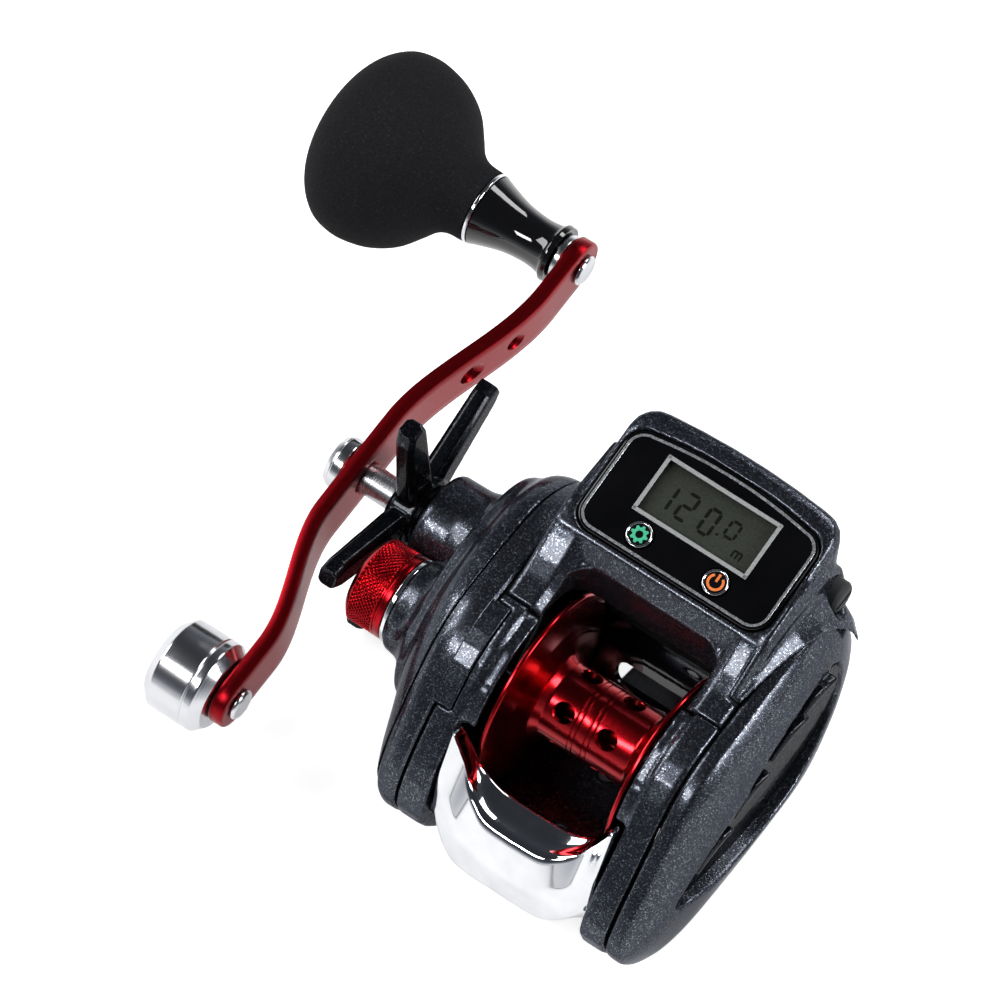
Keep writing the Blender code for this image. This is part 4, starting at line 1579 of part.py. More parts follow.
def main():
    clear_scene()
    make_collections()
    build_frame()
    build_seam_key()
    build_foot()
    build_spool()
    build_spool_shaft()
    build_bearings()
    build_gear_side_plate()
    build_gear_side_cover()
    build_tension_cap()
    build_gear_train()
    build_drive_shaft()
    build_star()
    build_handle_arm()
    build_handle_fittings()
    build_knob()
    build_thumb_bar()
    build_clutch()
    build_worm()
    build_line_guide()
    build_line_shield()
    build_top_cover()
    build_display()
    build_palm_side()
    build_brake()


main()
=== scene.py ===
import json

import bmesh
import bpy
import numpy as np
from mathutils import Matrix, Vector


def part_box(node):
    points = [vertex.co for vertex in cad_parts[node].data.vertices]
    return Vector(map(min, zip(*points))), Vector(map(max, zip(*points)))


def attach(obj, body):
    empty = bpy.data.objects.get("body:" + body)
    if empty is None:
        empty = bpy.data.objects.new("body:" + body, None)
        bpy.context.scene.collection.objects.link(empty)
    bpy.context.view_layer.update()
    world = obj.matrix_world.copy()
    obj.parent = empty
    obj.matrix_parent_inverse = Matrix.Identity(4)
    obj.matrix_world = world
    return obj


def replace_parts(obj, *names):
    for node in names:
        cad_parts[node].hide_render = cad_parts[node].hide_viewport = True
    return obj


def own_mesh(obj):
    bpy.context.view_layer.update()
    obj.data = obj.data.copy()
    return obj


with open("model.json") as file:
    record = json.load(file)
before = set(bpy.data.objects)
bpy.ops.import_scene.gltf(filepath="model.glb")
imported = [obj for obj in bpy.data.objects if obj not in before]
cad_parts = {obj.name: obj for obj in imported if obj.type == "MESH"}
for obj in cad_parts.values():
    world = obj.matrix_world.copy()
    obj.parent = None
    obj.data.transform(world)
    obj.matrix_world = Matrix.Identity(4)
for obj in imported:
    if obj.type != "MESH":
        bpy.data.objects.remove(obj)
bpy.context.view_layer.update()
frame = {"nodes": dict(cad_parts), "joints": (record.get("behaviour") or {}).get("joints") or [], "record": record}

# Studio
# A pale table in a white tent, seen from far off through a long lens. Soft boxes stand to the left,
# behind and to the right, with a small card above the rod side; the paint shows them as the silver
# fields that run along its edges.
joint_at = {joint["name"]: np.array(joint.get("pos_m", (0, 0, 0))) * 1000 for joint in frame["joints"]}
SPOOL_AXIS = joint_at["spool_spin"]
VIEW_BACK = Vector((0.2804, -0.3894, 0.8773))
VIEW_RIGHT = Vector((0.8115, 0.5845, 0.0))
VIEW_UP = Vector((-0.5130, 0.7116, 0.4798))
SPOOL_PIXEL, MIDDLE_PIXEL, PICTURE_PIXELS = (603.4, 726.1), 500, 1000
PIXELS_PER_MM = 6.6
CAMERA_DISTANCE = 1.6
SENSOR_MM = 36.0
TENT_SHADES = ((0.0, "#f4f5f7"), (0.10, "#d4d7dc"), (0.26, "#70747b"), (0.5, "#44474d"), (1.0, "#33363b"))
TENT_STRENGTH = 0.9
LAMPS = (("left_soft_box", (-0.62, -0.10, 0.50), (0.34, 0.52), 3.8),
         ("rear_soft_box", (0.10, 0.70, 0.62), (0.50, 0.26), 3.2),
         ("right_soft_box", (0.68, 0.17, 0.46), (0.26, 0.40), 4.4),
         ("brow_card", (-0.24, -0.48, 0.67), (0.26, 0.16), 2.6))
LAMP_AIM = Vector((0, 0, 0.02))
FLOOR_REACH, FLOOR_HEIGHT = 3000, -4.0
FLOOR_GLOW, GLOW_IN_MIRRORS = 0.62, 0.35


def linear(code):
    """An sRGB hex colour as the linear values that shaders take."""
    channels = [int(code[i:i + 2], 16) / 255 for i in (1, 3, 5)]
    return tuple(c / 12.92 if c <= 0.04045 else ((c + 0.055) / 1.055) ** 2.4 for c in channels) + (1.0,)


def feed(made, links):
    """Feed a node's sockets from other nodes; a node stands for its own first output."""
    for key, source in links.items():
        source = source.outputs[0] if isinstance(source, bpy.types.Node) else source
        made.id_data.links.new(source, made.inputs[key])


def node(tree, kind, settings=None, links=None, stops=()):
    """Add a node, set its fields or sockets, feed it, and colour a ramp by (place, hex colour) stops."""
    made = tree.nodes.new("ShaderNode" + kind)
    for key, value in (settings or {}).items():
        if isinstance(key, str) and hasattr(made, key):
            setattr(made, key, value)
        else:
            made.inputs[key].default_value = value
    feed(made, links or {})
    for _ in stops[2:]:
        made.color_ramp.elements.new(0.5)
    for element, (place, code) in zip(made.color_ramp.elements if stops else (), stops):
        element.position, element.color = place, linear(code)
    return made


def mesh_object(name, points, faces):
    """Put points in millimetres and faces into an object in the scene."""
    mesh = bpy.data.meshes.new(name)
    mesh.from_pydata((np.asarray(points, float) / 1000).tolist(), [], faces)
    mesh.update()
    made = bpy.data.objects.new(name, mesh)
    scene.collection.objects.link(made)
    return made


scene = bpy.context.scene
scene.view_settings.view_transform = "Standard"
camera_data = bpy.data.cameras.new("camera")
camera = bpy.data.objects.new("camera", camera_data)
scene.collection.objects.link(camera)
scene.camera = camera
camera_data.sensor_width = SENSOR_MM
camera_data.lens = SENSOR_MM * CAMERA_DISTANCE / (PICTURE_PIXELS / PIXELS_PER_MM / 1000)
camera_data.clip_start, camera_data.clip_end = 0.05, 20.0
aim = Vector(SPOOL_AXIS / 1000) + VIEW_RIGHT * ((MIDDLE_PIXEL - SPOOL_PIXEL[0]) / PIXELS_PER_MM / 1000)
aim += VIEW_UP * ((SPOOL_PIXEL[1] - MIDDLE_PIXEL) / PIXELS_PER_MM / 1000)
camera.location = aim + VIEW_BACK * CAMERA_DISTANCE
camera.rotation_mode = "QUATERNION"
camera.rotation_quaternion = Matrix((VIEW_RIGHT, VIEW_UP, VIEW_BACK)).transposed().to_quaternion()

scene.world = bpy.data.worlds.new("white_tent")
scene.world.use_nodes = True
tent = scene.world.node_tree
tent.nodes.clear()
way = node(tent, "TexCoord").outputs["Generated"]
height = node(tent, "SeparateXYZ", {}, {0: way}).outputs["Z"]
wall = node(tent, "ValToRGB", {}, {0: height}, TENT_SHADES)
room = node(tent, "Background", {"Strength": TENT_STRENGTH}, {"Color": wall})
white = node(tent, "Background", {"Color": (1, 1, 1, 1), "Strength": 1.0})
camera_ray = node(tent, "LightPath").outputs["Is Camera Ray"]
shown = node(tent, "MixShader", {}, {0: camera_ray, 1: room, 2: white})
node(tent, "OutputWorld", {}, {"Surface": shown})

for lamp_name, place, size, watts in LAMPS:
    lamp_data = bpy.data.lights.new(lamp_name, "AREA")
    lamp_data.shape = "RECTANGLE"
    lamp_data.size, lamp_data.size_y = size
    lamp_data.energy = watts
    lamp = bpy.data.objects.new(lamp_name, lamp_data)
    scene.collection.objects.link(lamp)
    lamp.location = place
    lamp.rotation_mode = "QUATERNION"
    lamp.rotation_quaternion = (Vector(place) - LAMP_AIM).to_track_quat("Z", "Y")

# The paper glows to the camera, as an overexposed sweep does, and only a little in what mirrors it.
floor = mesh_object("floor", [(x * FLOOR_REACH, y * FLOOR_REACH, FLOOR_HEIGHT)
                              for x, y in ((-1, -1), (1, -1), (1, 1), (-1, 1))], [(0, 1, 2, 3)])
table = bpy.data.materials.new("white_paper_sweep")
table.use_nodes = True
tree = table.node_tree
tree.nodes.clear()
paper = node(tree, "BsdfPrincipled", {"Base Color": linear("#f4f4f4"), "Roughness": 0.9})
glow = node(tree, "Emission", {"Color": (1, 1, 1, 1), "Strength": FLOOR_GLOW})
ray = node(tree, "LightPath").outputs
mirrored = node(tree, "Math", {"operation": "MULTIPLY", 1: GLOW_IN_MIRRORS}, {0: ray["Is Glossy Ray"]})
seen = node(tree, "Math", {"operation": "ADD"}, {0: ray["Is Camera Ray"], 1: mirrored})
seen = node(tree, "Math", {"operation": "ADD", "use_clamp": True}, {0: seen, 1: ray["Is Transmission Ray"]})
both = node(tree, "AddShader", {}, {0: paper, 1: glow})
node(tree, "OutputMaterial", {},
     {"Surface": node(tree, "MixShader", {}, {0: seen, 1: paper, 2: both})})
floor.data.materials.append(table)

# Painted castings
# Frame, display housing and side plates are die cast and sprayed charcoal with a fine silver
# flake under clear lacquer. The mould and the paint leave every edge rounded.
CAST_SHARP = 80
body_of = {part: body for body, parts in frame["record"]["behaviour"]["bodies"].items() for part in parts}
LIP_INNER, LIP_OUTER, LIP_NEAR, LIP_FAR = 17.15, 18.25, 13.0, 16.0
LIP_TURN = np.radians(np.linspace(130, 150, 24))


def material(name, colour, roughness, metallic=0.0, **sockets):
    """A Principled material, its tree, its shader and the place on the object; sockets take underscores."""
    made = bpy.data.materials.new(name)
    made.use_nodes = True
    tree = made.node_tree
    shader = tree.nodes["Principled BSDF"]
    sockets.update(Base_Color=linear(colour), Roughness=roughness, Metallic=metallic)
    for key, value in sockets.items():
        shader.inputs[key.replace("_", " ")].default_value = value
    return made, tree, shader, node(tree, "TexCoord").outputs["Object"]


def flake_paint(name, shades, roughness, tilt, flake_mm=0.15):
    """Metal flakes of one size under lacquer: each cell has its own shade and leans its own way."""
    made, tree, shader, place = material(name, shades[1][1], roughness, 0.85, Coat_Weight=0.22,
                                         Coat_Roughness=0.06, Specular_Tint=linear("#8a8f9a"))
    cell = node(tree, "TexVoronoi", {"Scale": 1000 / flake_mm}, {"Vector": place}).outputs["Color"]
    shade = node(tree, "SeparateColor", {}, {0: cell})
    lean = node(tree, "VectorMath", {"operation": "SUBTRACT", 1: (0.5, 0.5, 0.5)}, {0: cell})
    lean = node(tree, "VectorMath", {"operation": "SCALE", "Scale": tilt}, {0: lean})
    upright = node(tree, "NewGeometry").outputs["Normal"]
    leant = node(tree, "VectorMath", {"operation": "ADD"}, {0: upright, 1: lean})
    feed(shader, {"Base Color": node(tree, "ValToRGB", {}, {0: shade}, shades),
                  "Normal": node(tree, "VectorMath", {"operation": "NORMALIZE"}, {0: leant})})
    return made


def about(x, radius, turn, axis):
    """Points round an axis that runs along x, from their places along it, their radii and their angles."""
    return np.stack(np.broadcast_arrays(x, radius * np.cos(turn), radius * np.sin(turn)), -1) + axis


def skin(grid, wrap_rows=False, wrap_cols=True, lids=(False, False)):
    """Points and faces of a surface given as a grid of points, with a fan over either end."""
    rows, cols = grid.shape[:2]
    number = np.arange(rows * cols).reshape(rows, cols)
    if wrap_cols:
        number = np.hstack([number, number[:, :1]])
    if wrap_rows:
        number = np.vstack([number, number[:1]])
    quads = np.stack([number[:-1, :-1], number[:-1, 1:], number[1:, 1:], number[1:, :-1]], -1).reshape(-1, 4)
    points, faces = grid.reshape(-1, 3), quads.tolist()
    for lid, row in zip(lids, (0, rows - 1)):
        if lid:
            tip = len(points)
            points = np.vstack([points, grid[row].mean(0)[None]])
            ring = np.arange(row * cols, row * cols + cols)
            faces += np.stack([ring, np.roll(ring, -1), np.full(cols, tip)], 1).tolist()
    return points, faces


def solid(rows, wrap_rows=False):
    """A closed surface through rings of points: either over both its ends or back into its start."""
    return skin(np.array(rows), wrap_rows, lids=(not wrap_rows,) * 2)


def joined(name, *parts):
    """Surfaces as one object, its doubles merged and its faces turned outwards."""
    points, faces, start = [], [], 0
    for p, f in parts:
        points.append(p)
        faces += [[v + start for v in face] for face in f]
        start += len(p)
    made = mesh_object(name, np.vstack(points), faces)
    form = bmesh.new()
    form.from_mesh(made.data)
    bmesh.ops.remove_doubles(form, verts=form.verts, dist=1e-6)
    bmesh.ops.dissolve_degenerate(form, edges=form.edges, dist=1e-7)
    bmesh.ops.recalc_face_normals(form, faces=form.faces)
    form.to_mesh(made.data)
    form.free()
    return made


def added(made, finish, body, sharp=40):
    """Smooth all but edges sharper than an angle, give the piece its finish and let it ride on a body."""
    made.data.shade_smooth()
    made.data.set_sharp_from_angle(angle=np.radians(sharp))
    made.data.materials.clear()
    made.data.materials.append(finish)
    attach(made, body)
    return made


def fitted(made, finish, part, sharp=40):
    """Put a piece in the place of a CAD part and on its body."""
    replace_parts(added(made, finish, body_of[part], sharp), part)
    return made


def settled(made):
    """The object with its modifiers worked into its mesh."""
    made.data = bpy.data.meshes.new_from_object(made.evaluated_get(bpy.context.evaluated_depsgraph_get()))
    made.modifiers.clear()
    return made


def cast(made, voxel, rounds):
    """Round a closed form's edges over: remesh it to cells of one size in mm, then relax the skin."""
    remesh = made.modifiers.new("skin", "REMESH")
    remesh.mode, remesh.voxel_size = "VOXEL", voxel / 1000
    relax = made.modifiers.new("relax", "SMOOTH")
    relax.factor, relax.iterations = 0.5, rounds
    return settled(made)


def recast(name, part, voxel, rounds, finish, extras=()):
    """A CAD part's solid cast anew in its place, with closed surfaces added that the remesh welds to it."""
    made = bpy.data.objects.new(name, frame["nodes"][part].data.copy())
    scene.collection.objects.link(made)
    welds = [joined("extra", extra) for extra in extras]
    form = bmesh.new()
    form.from_mesh(made.data)
    bmesh.ops.remove_doubles(form, verts=form.verts, dist=1e-6)
    for extra in welds:
        form.from_mesh(extra.data)
        bpy.data.objects.remove(extra)
    form.to_mesh(made.data)
    form.free()
    return fitted(cast(made, voxel, rounds), finish, part, CAST_SHARP)


# Each flake mirrors its own way, so the paint glitters and its bright fields look sprayed. Real
# flake is 0.03 mm; it is drawn at 0.15 mm, the finest that still twinkles in the render.
CHARCOAL = ((0.0, "#282a30"), (0.55, "#35383f"), (0.88, "#4b4f58"), (1.0, "#8f959f"))
BLACK = ((0.0, "#0d0e11"), (0.6, "#16181c"), (0.92, "#23262c"), (1.0, "#50545e"))
graphite_paint = flake_paint("flake_lacquer_charcoal", CHARCOAL, 0.27, 0.07)
black_flake = flake_paint("flake_lacquer_black", BLACK, 0.26, 0.12)
# The lips beside the spool run on down to the wings of the thumb bar.
lip_x = np.array([LIP_NEAR, LIP_FAR, LIP_FAR, LIP_NEAR])
lip_radius = np.array([LIP_INNER, LIP_INNER, LIP_OUTER, LIP_OUTER])
lips = [solid(about(side * lip_x, lip_radius, LIP_TURN[:, None], SPOOL_AXIS)) for side in (-1, 1)]
recast("frame_casting", "frame", 0.335, 8, graphite_paint, lips)
recast("display_housing", "top_cover", 0.27, 12, graphite_paint)
recast("seam_bridge_key", "seam_key", 0.12, 4, graphite_paint)

# Gear side plate
# The gear housing is two castings: a band that closes the frame, and a domed cover whose bosses
# flare out to the handle shaft and to the spool's tension cap. Both are sprayed like the frame.
PLATE_SIZE = np.array([30.0, 20.0])
GEAR_OUTLINE = (
    (1.07, -0.15), (1.01, 0.25), (0.86, 0.61), (0.60, 0.88), (0.27, 0.945), (0.08, 0.95),
    (-0.117, 0.93), (-0.317, 0.815), (-0.51, 0.56), (-0.683, 0.29), (-0.830, 0.0), (-0.893, -0.28),
    (-0.82, -0.62), (-0.65, -0.90), (-0.30, -0.985), (0.30, -0.995), (0.72, -0.955), (0.985, -0.67))
PLATEAU = (
    (0.935, -0.15), (0.90, 0.20), (0.765, 0.52), (0.55, 0.70), (0.267, 0.725), (0.10, 0.67),
    (-0.05, 0.58), (-0.183, 0.44), (-0.30, 0.25), (-0.35, 0.075), (-0.37, -0.10), (-0.36, -0.275),
    (-0.31, -0.475), (-0.19, -0.65), (0.067, -0.78), (0.383, -0.84), (0.667, -0.79), (0.867, -0.525))
TAIL_START, TAIL_RUN = 0.30, 1.10
BAND_WIDTH, BAND_LIP, WALL = 4.4, 0.4, 1.2
COVER_DEPTH, CROWN_WALL = 6.8, 1.1
SLOPE = ((0.0, 0.05, 0.14), (0.26, 0.12, 0.38), (0.50, 0.32, 0.66), (0.70, 0.72, 0.92), (0.92, 0.93, 0.98),
         (1.0, 1.06, 1.06))
DRIVE_BOSS = ((1.6, 13.6), (0.3, 12.6), (-0.9, 10.9), (-2.2, 9.8), (-4.0, 9.0), (-5.6, 8.5))
CAP_BOSS = ((1.6, 11.0), (0.2, 10.3), (-0.8, 9.0), (-1.8, 8.3), (-3.6, 8.0), (-4.4, 7.8), (-4.4, 5.9),
            (1.6, 5.8))
DRIVE_AXIS = joint_at["handle_turn"]


def box_mm(name):
    """Lowest and highest corners of a CAD part, in millimetres."""
    return [np.array(corner) * 1000 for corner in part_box(name)]


def spline(points, steps, closed=True):
    """Catmull-Rom curve through the points, worked out for all steps at once."""
    p = np.asarray(points, float)
    count = len(p)
    spans = count if closed else count - 1
    t = np.arange(spans * steps + (0 if closed else 1)) / steps
    i = np.minimum(t.astype(int), spans - 1)
    f = (t - i)[:, None]
    if closed:
        p0, p1, p2, p3 = (p[(i + k) % count] for k in (-1, 0, 1, 2))
    else:
        ends = np.vstack([2 * p[:1] - p[1:2], p, 2 * p[-1:] - p[-2:-1]])
        p0, p1, p2, p3 = (ends[i + k] for k in (0, 1, 2, 3))
    return 0.5 * (2 * p1 + (p2 - p0) * f + (2 * p0 - 5 * p1 + 4 * p2 - p3) * f ** 2
                  + (3 * p1 - p0 - 3 * p2 + p3) * f ** 3)


def inset(loop, distance):
    """Move an anticlockwise loop inwards along its normals."""
    run = np.roll(loop, -1, 0) - np.roll(loop, 1, 0)
    run /= np.linalg.norm(run, axis=1)[:, None]
    return loop + np.stack([-run[:, 1], run[:, 0]], 1) * distance


def side_ring(x, loop):
    """A loop of (y, z) about the spool axis, stood at one x."""
    return np.column_stack([np.full(len(loop), x), loop]) + SPOOL_AXIS


def plate_rows(stations, margin=0.0):
    """Rings of the gear side at each (x, front share, tail share), the shares of the way to the plateau."""
    rows = []
    for x, front, tail in stations:
        share = (front + (tail - front) * tailness)[:, None]
        rows.append(side_ring(x, inset(gear_loop + (plateau_loop - gear_loop) * share, margin)))
    return np.array(rows)


def softened(profile, reach, steps=4, closed=False):
    """Round a profile's corners with short arcs; reach is how far from a corner each starts."""
    p = np.asarray(profile, float)
    p = np.vstack([p[-1:], p, p[:1]]) if closed else p
    out = [] if closed else [p[:1]]
    for before, corner, after in zip(p[:-2], p[1:-1], p[2:]):
        a, b = before - corner, after - corner
        la, lb = np.linalg.norm(a), np.linalg.norm(b)
        r = min(reach, la * 0.49, lb * 0.49)
        t = np.linspace(0, 1, steps + 1)[:, None]
        start, end = corner + a / max(la, 1e-9) * r, corner + b / max(lb, 1e-9) * r
        out.append((1 - t) ** 2 * start + 2 * t * (1 - t) * corner + t ** 2 * end)
    return np.vstack(out if closed else out + [p[-1:]])


def turned(profile, at, steps=96, reach=0.0, arc=4, way=(1, 0, 0)):
    """(Distance, radius) pairs swept round an axis; a profile that starts off the axis closes on itself."""
    closed = profile[0][1] > 0
    p = softened(profile, reach, arc, closed) if reach else np.asarray(profile, float)
    way = np.array(way, float) / np.linalg.norm(way)
    side = np.cross(way, (0.0, 0.0, 1.0) if abs(way[2]) < 0.9 else (1.0, 0.0, 0.0))
    side /= np.linalg.norm(side)
    turn = (np.arange(steps) * 2 * np.pi / steps)[:, None]
    spokes = np.cos(turn) * side + np.sin(turn) * np.cross(way, side)
    grid = np.asarray(at, float) + p[:, None, :1] * way + p[:, None, 1:] * spokes[None]
    return skin(grid, wrap_rows=closed)


gear_loop = spline(np.array(GEAR_OUTLINE) * PLATE_SIZE, 12)
plateau_loop = spline(np.array(PLATEAU) * PLATE_SIZE, 12)
tailness = np.clip((TAIL_START - gear_loop[:, 0] / PLATE_SIZE[0]) / TAIL_RUN, 0, 1)
band_in = box_mm("gear_side_plate")[1][0]
curve = spline([(band_in - 0.4, 0, 0), (band_in - 2.0, 0, 0), (band_in - 3.4, 0.01, 0.05),
                (band_in - BAND_WIDTH, 0.05, 0.14)], 6, closed=False)
outside = [side_ring(band_in, inset(gear_loop, BAND_LIP)), *plate_rows(curve)]
inside = plate_rows([*curve[::-1], (band_in, 0, 0)], WALL)
fitted(joined("gear_side_band", solid([*outside, *inside], True)), graphite_paint, "gear_side_plate")

boss_end, cover_in = (corner[0] for corner in box_mm("gear_side_cover"))
cover_out = cover_in - COVER_DEPTH
slope = spline(np.array(SLOPE) * (-COVER_DEPTH, 1, 1) + (cover_in, 0, 0), 8, closed=False)
outer = plate_rows(slope)
middle = outer[-1].mean(0)
crown = [middle + (outer[-1] - middle) * share for share in (0.94, 0.8, 0.6, 0.4, 0.2, 0.02)]
hollow = plate_rows(slope[::-1] + (CROWN_WALL, 0, 0), WALL)
hollow[-1, :, 0] = cover_in
middle = hollow[0].mean(0)
lining = [middle + (hollow[0] - middle) * share for share in (0.02, 0.3, 0.6, 0.85)]
bore = [(boss_end + 0.7, 8.4), (boss_end, 7.7), (boss_end, 6.6), (cover_out + 1.6, 6.5)]
drive_boss = turned(np.vstack([np.array(DRIVE_BOSS) + (cover_out, 0), bore]), DRIVE_AXIS, 96, 0.5)
cap_boss = turned(np.array(CAP_BOSS) + (cover_out, 0), SPOOL_AXIS, 96, 0.35)
dome = joined("gear_side_dome", solid([*lining, *hollow, *outer, *crown]), drive_boss, cap_boss)
fitted(cast(dome, 0.29, 10), graphite_paint, "gear_side_cover", CAST_SHARP)

# Palm plate
# The palm plate is a thicker casting: a round rim, a low dome and, in the dome, a dark dish of
# gloss black plastic from which four curved fins stand up.
PALM_OUTLINE = (
    (1.085, -0.02), (1.085, 0.28), (1.025, 0.58), (0.885, 0.84), (0.66, 1.005), (0.35, 1.01),
    (0.08, 0.955), (-0.117, 0.93), (-0.317, 0.815), (-0.51, 0.56), (-0.68, 0.28), (-0.85, -0.01),
    (-0.943, -0.28), (-0.863, -0.62), (-0.68, -0.90), (-0.30, -0.975), (0.30, -0.975), (0.71, -0.88),
    (0.96, -0.48))
DISH = (
    (0.81, 0.54), (0.59, 0.65), (0.27, 0.60), (-0.13, 0.38), (-0.40, 0.16), (-0.60, -0.10), (-0.42, -0.24),
    (-0.14, -0.38), (0.14, -0.45), (0.42, -0.42), (0.66, -0.26), (0.82, 0.00), (0.87, 0.30))
RIM = ((0.0, 0.55), (0.12, 0.22), (0.4, 0.03), (0.8, 0.0), (1.7, 0.0))
DOME = ((0.3125, 1.0), (0.42, 0.955), (0.56, 0.88), (0.70, 0.75), (0.83, 0.54), (0.94, 0.30), (1.0, 0.11))
DOME_CENTRE = 0.02 * PLATE_SIZE
PALM_DEPTH, PALM_FLOOR, PALM_WALL = 8.0, 3.4, 1.9
DISH_CUT = ((4.3, 0.0), (6.0, -0.1), (12.0, -0.8))


def carve(made, *tools):
    """Take closed surfaces out of a closed object."""
    cutters = [joined("tool", tool) for tool in tools]
    for cutter in cutters:
        step = made.modifiers.new("cut", "BOOLEAN")
        step.operation, step.object, step.solver = "DIFFERENCE", cutter, "EXACT"
    settled(made)
    for cutter in cutters:
        bpy.data.objects.remove(cutter)
    return made


palm_in = box_mm("palm_side_plate")[0][0]
palm_loop = spline(np.array(PALM_OUTLINE) * PLATE_SIZE, 12)
dish_loop = spline(np.array(DISH) * PLATE_SIZE, 10)
rows = [side_ring(palm_in + PALM_FLOOR, palm_loop * share) for share in (0.02, 0.3, 0.6)]
rows += [side_ring(palm_in + x, inset(palm_loop, PALM_WALL)) for x in (PALM_FLOOR, 0.0)]
rows += [side_ring(palm_in + x, inset(palm_loop, margin)) for x, margin in RIM]
rows += [side_ring(palm_in + PALM_DEPTH * x, DOME_CENTRE + (palm_loop - DOME_CENTRE) * scale)
         for x, scale in spline(DOME, 8, closed=False)]
dish = solid([side_ring(palm_in + x, inset(dish_loop, margin)) for x, margin in DISH_CUT])
palm_plate = cast(carve(joined("palm_plate", solid(rows)), dish), 0.26, 12)
fitted(palm_plate, graphite_paint, "palm_side_plate", CAST_SHARP)
recast("palm_dish_fins", "palm_grille", 0.20, 4, black_flake)

# Spool
# The spool is turned from aluminium bar, drilled through its waist to save weight and anodised
# red over the tool marks. Two flanges hold the line; a thin hub runs on the shaft.
SPOOL_PROFILE = (
    (-12.2, 16.5), (-12.2, 15.7), (-11.08, 9.43), (-8.43, 5.5), (8.43, 5.5), (8.43, 2.4), (-8.43, 2.4),
    (-8.43, 1.3), (11.4, 1.3), (11.4, 2.4), (9.33, 2.4), (9.33, 5.5), (11.08, 9.43), (12.2, 15.7),
    (12.2, 16.5), (11.4, 16.5), (10.48, 11.25), (9.16, 7.51), (7.77, 6.4), (0.93, 6.4), (0.89, 6.25),
    (0.83, 6.25), (0.79, 6.4), (0.07, 6.4), (0.03, 6.25), (-0.03, 6.25), (-0.07, 6.4), (-1.63, 6.4),
    (-1.67, 6.25), (-1.73, 6.25), (-1.77, 6.4), (-2.49, 6.4), (-2.53, 6.25), (-2.59, 6.25), (-2.63, 6.4),
    (-7.77, 6.4), (-9.16, 7.51), (-10.48, 11.25), (-11.4, 16.5))
HOLE_PROFILE = ((4.0, 0), (4.0, 1.65), (6.1, 1.65), (6.32, 1.85), (8.0, 1.95), (8.0, 0))
HOLES_ROUND, FIRST_HOLE, HOLE_OFFSETS = 5, np.radians(128), (-4.8, 3.1)


def bar_stock(name, colour, roughness, axis, ring_mm=0.10, depth=0.10, **sockets):
    """Turned metal: tool marks are noise of the place along the axis and the distance from it."""
    made, tree, shader, place = material(name, colour, roughness, 1.0, **sockets)
    place = node(tree, "VectorMath", {"operation": "SUBTRACT", 1: tuple(axis / 1000)}, {0: place})
    across = node(tree, "VectorMath", {"operation": "MULTIPLY", 1: (0.0, 1.0, 1.0)}, {0: place})
    radius = node(tree, "VectorMath", {"operation": "LENGTH"}, {0: across}).outputs["Value"]
    along = node(tree, "SeparateXYZ", {}, {0: place})
    ring = node(tree, "CombineXYZ", {}, {0: along, 1: radius})
    marks = node(tree, "TexNoise", {"Scale": 1000 / ring_mm, "Detail": 3.0}, {"Vector": ring})
    dent = node(tree, "Bump", {"Strength": depth, "Distance": 0.0001}, {"Height": marks})
    limits = {"To Min": roughness * 0.75, "To Max": roughness * 1.3}
    feed(shader, {"Normal": dent, "Roughness": node(tree, "MapRange", limits, {0: marks})})
    return made


# The dye sits in a clear skin of oxide, so the red is deep and the glints stay sharp.
red_spool = bar_stock("anodised_aluminium_red_turned", "#a80c17", 0.22, SPOOL_AXIS, 0.16, 0.12,
                      Coat_Weight=0.3, Coat_Roughness=0.12)
wells = []
for angle in FIRST_HOLE + np.arange(HOLES_ROUND) * 2 * np.pi / HOLES_ROUND:
    for offset in HOLE_OFFSETS:
        well_at = SPOOL_AXIS + (offset, 0, 0)
        wells.append(turned(HOLE_PROFILE, well_at, 32, way=(0, np.cos(angle), np.sin(angle))))
spool = carve(joined("drilled_spool", turned(SPOOL_PROFILE, SPOOL_AXIS, 144, 0.28, 3)), *wells)
fitted(spool, red_spool, "spool", 32)

# Shafts, gears and drag
# Inside the gear side brass gears are hobbed, shafts are ground stainless steel, and a washer of
# woven carbon between steel plates is the drag. The brake's magnets are nickel plated.
DRIVE_SHAFT = (
    (-20.4, 0), (-20.4, 1.5), (-21.9, 1.5), (-21.9, 2.6), (-28.0, 2.6), (-28.0, 3.6), (-42.9, 3.6),
    (-42.9, 2.6), (-58.5, 2.6), (-60.1, 2.45), (-60.44, 2.1), (-60.44, 0))
SPRING_WASHER = ((-43.75, 3.2), (-43.75, 5.2), (-43.62, 5.4), (-43.42, 5.4), (-43.3, 5.2), (-43.45, 3.2))


def give(finish, *names):
    """Put a finish on CAD nodes that keep their own shape."""
    for name in names:
        slots = frame["nodes"][name].data.materials
        for index in range(len(slots)):
            slots[index] = finish
        if not len(slots):
            slots.append(finish)


def grained(name, colour, roughness, metallic, grain_mm, shades, depth=0.1, stretch=(1, 1, 1),
            span=(0.3, 0.7), **sockets):
    """A finish with one grain: stretched noise sets its bump, its roughness and, over a span, its colour."""
    made, tree, shader, place = material(name, colour, roughness, metallic, **sockets)
    drawn = node(tree, "VectorMath", {"operation": "MULTIPLY", 1: stretch}, {0: place})
    grain = node(tree, "TexNoise", {"Scale": 1000 / grain_mm, "Detail": 3.0}, {"Vector": drawn})
    dent = node(tree, "Bump", {"Strength": depth, "Distance": 0.0001}, {"Height": grain})
    limits = {"To Min": roughness * 0.8, "To Max": min(1.0, roughness * 1.25)}
    tone = node(tree, "ValToRGB", {}, {0: grain}, tuple(zip(np.linspace(*span, len(shades)), shades)))
    feed(shader, {"Normal": dent, "Roughness": node(tree, "MapRange", limits, {0: grain}),
                  "Base Color": tone})
    return made


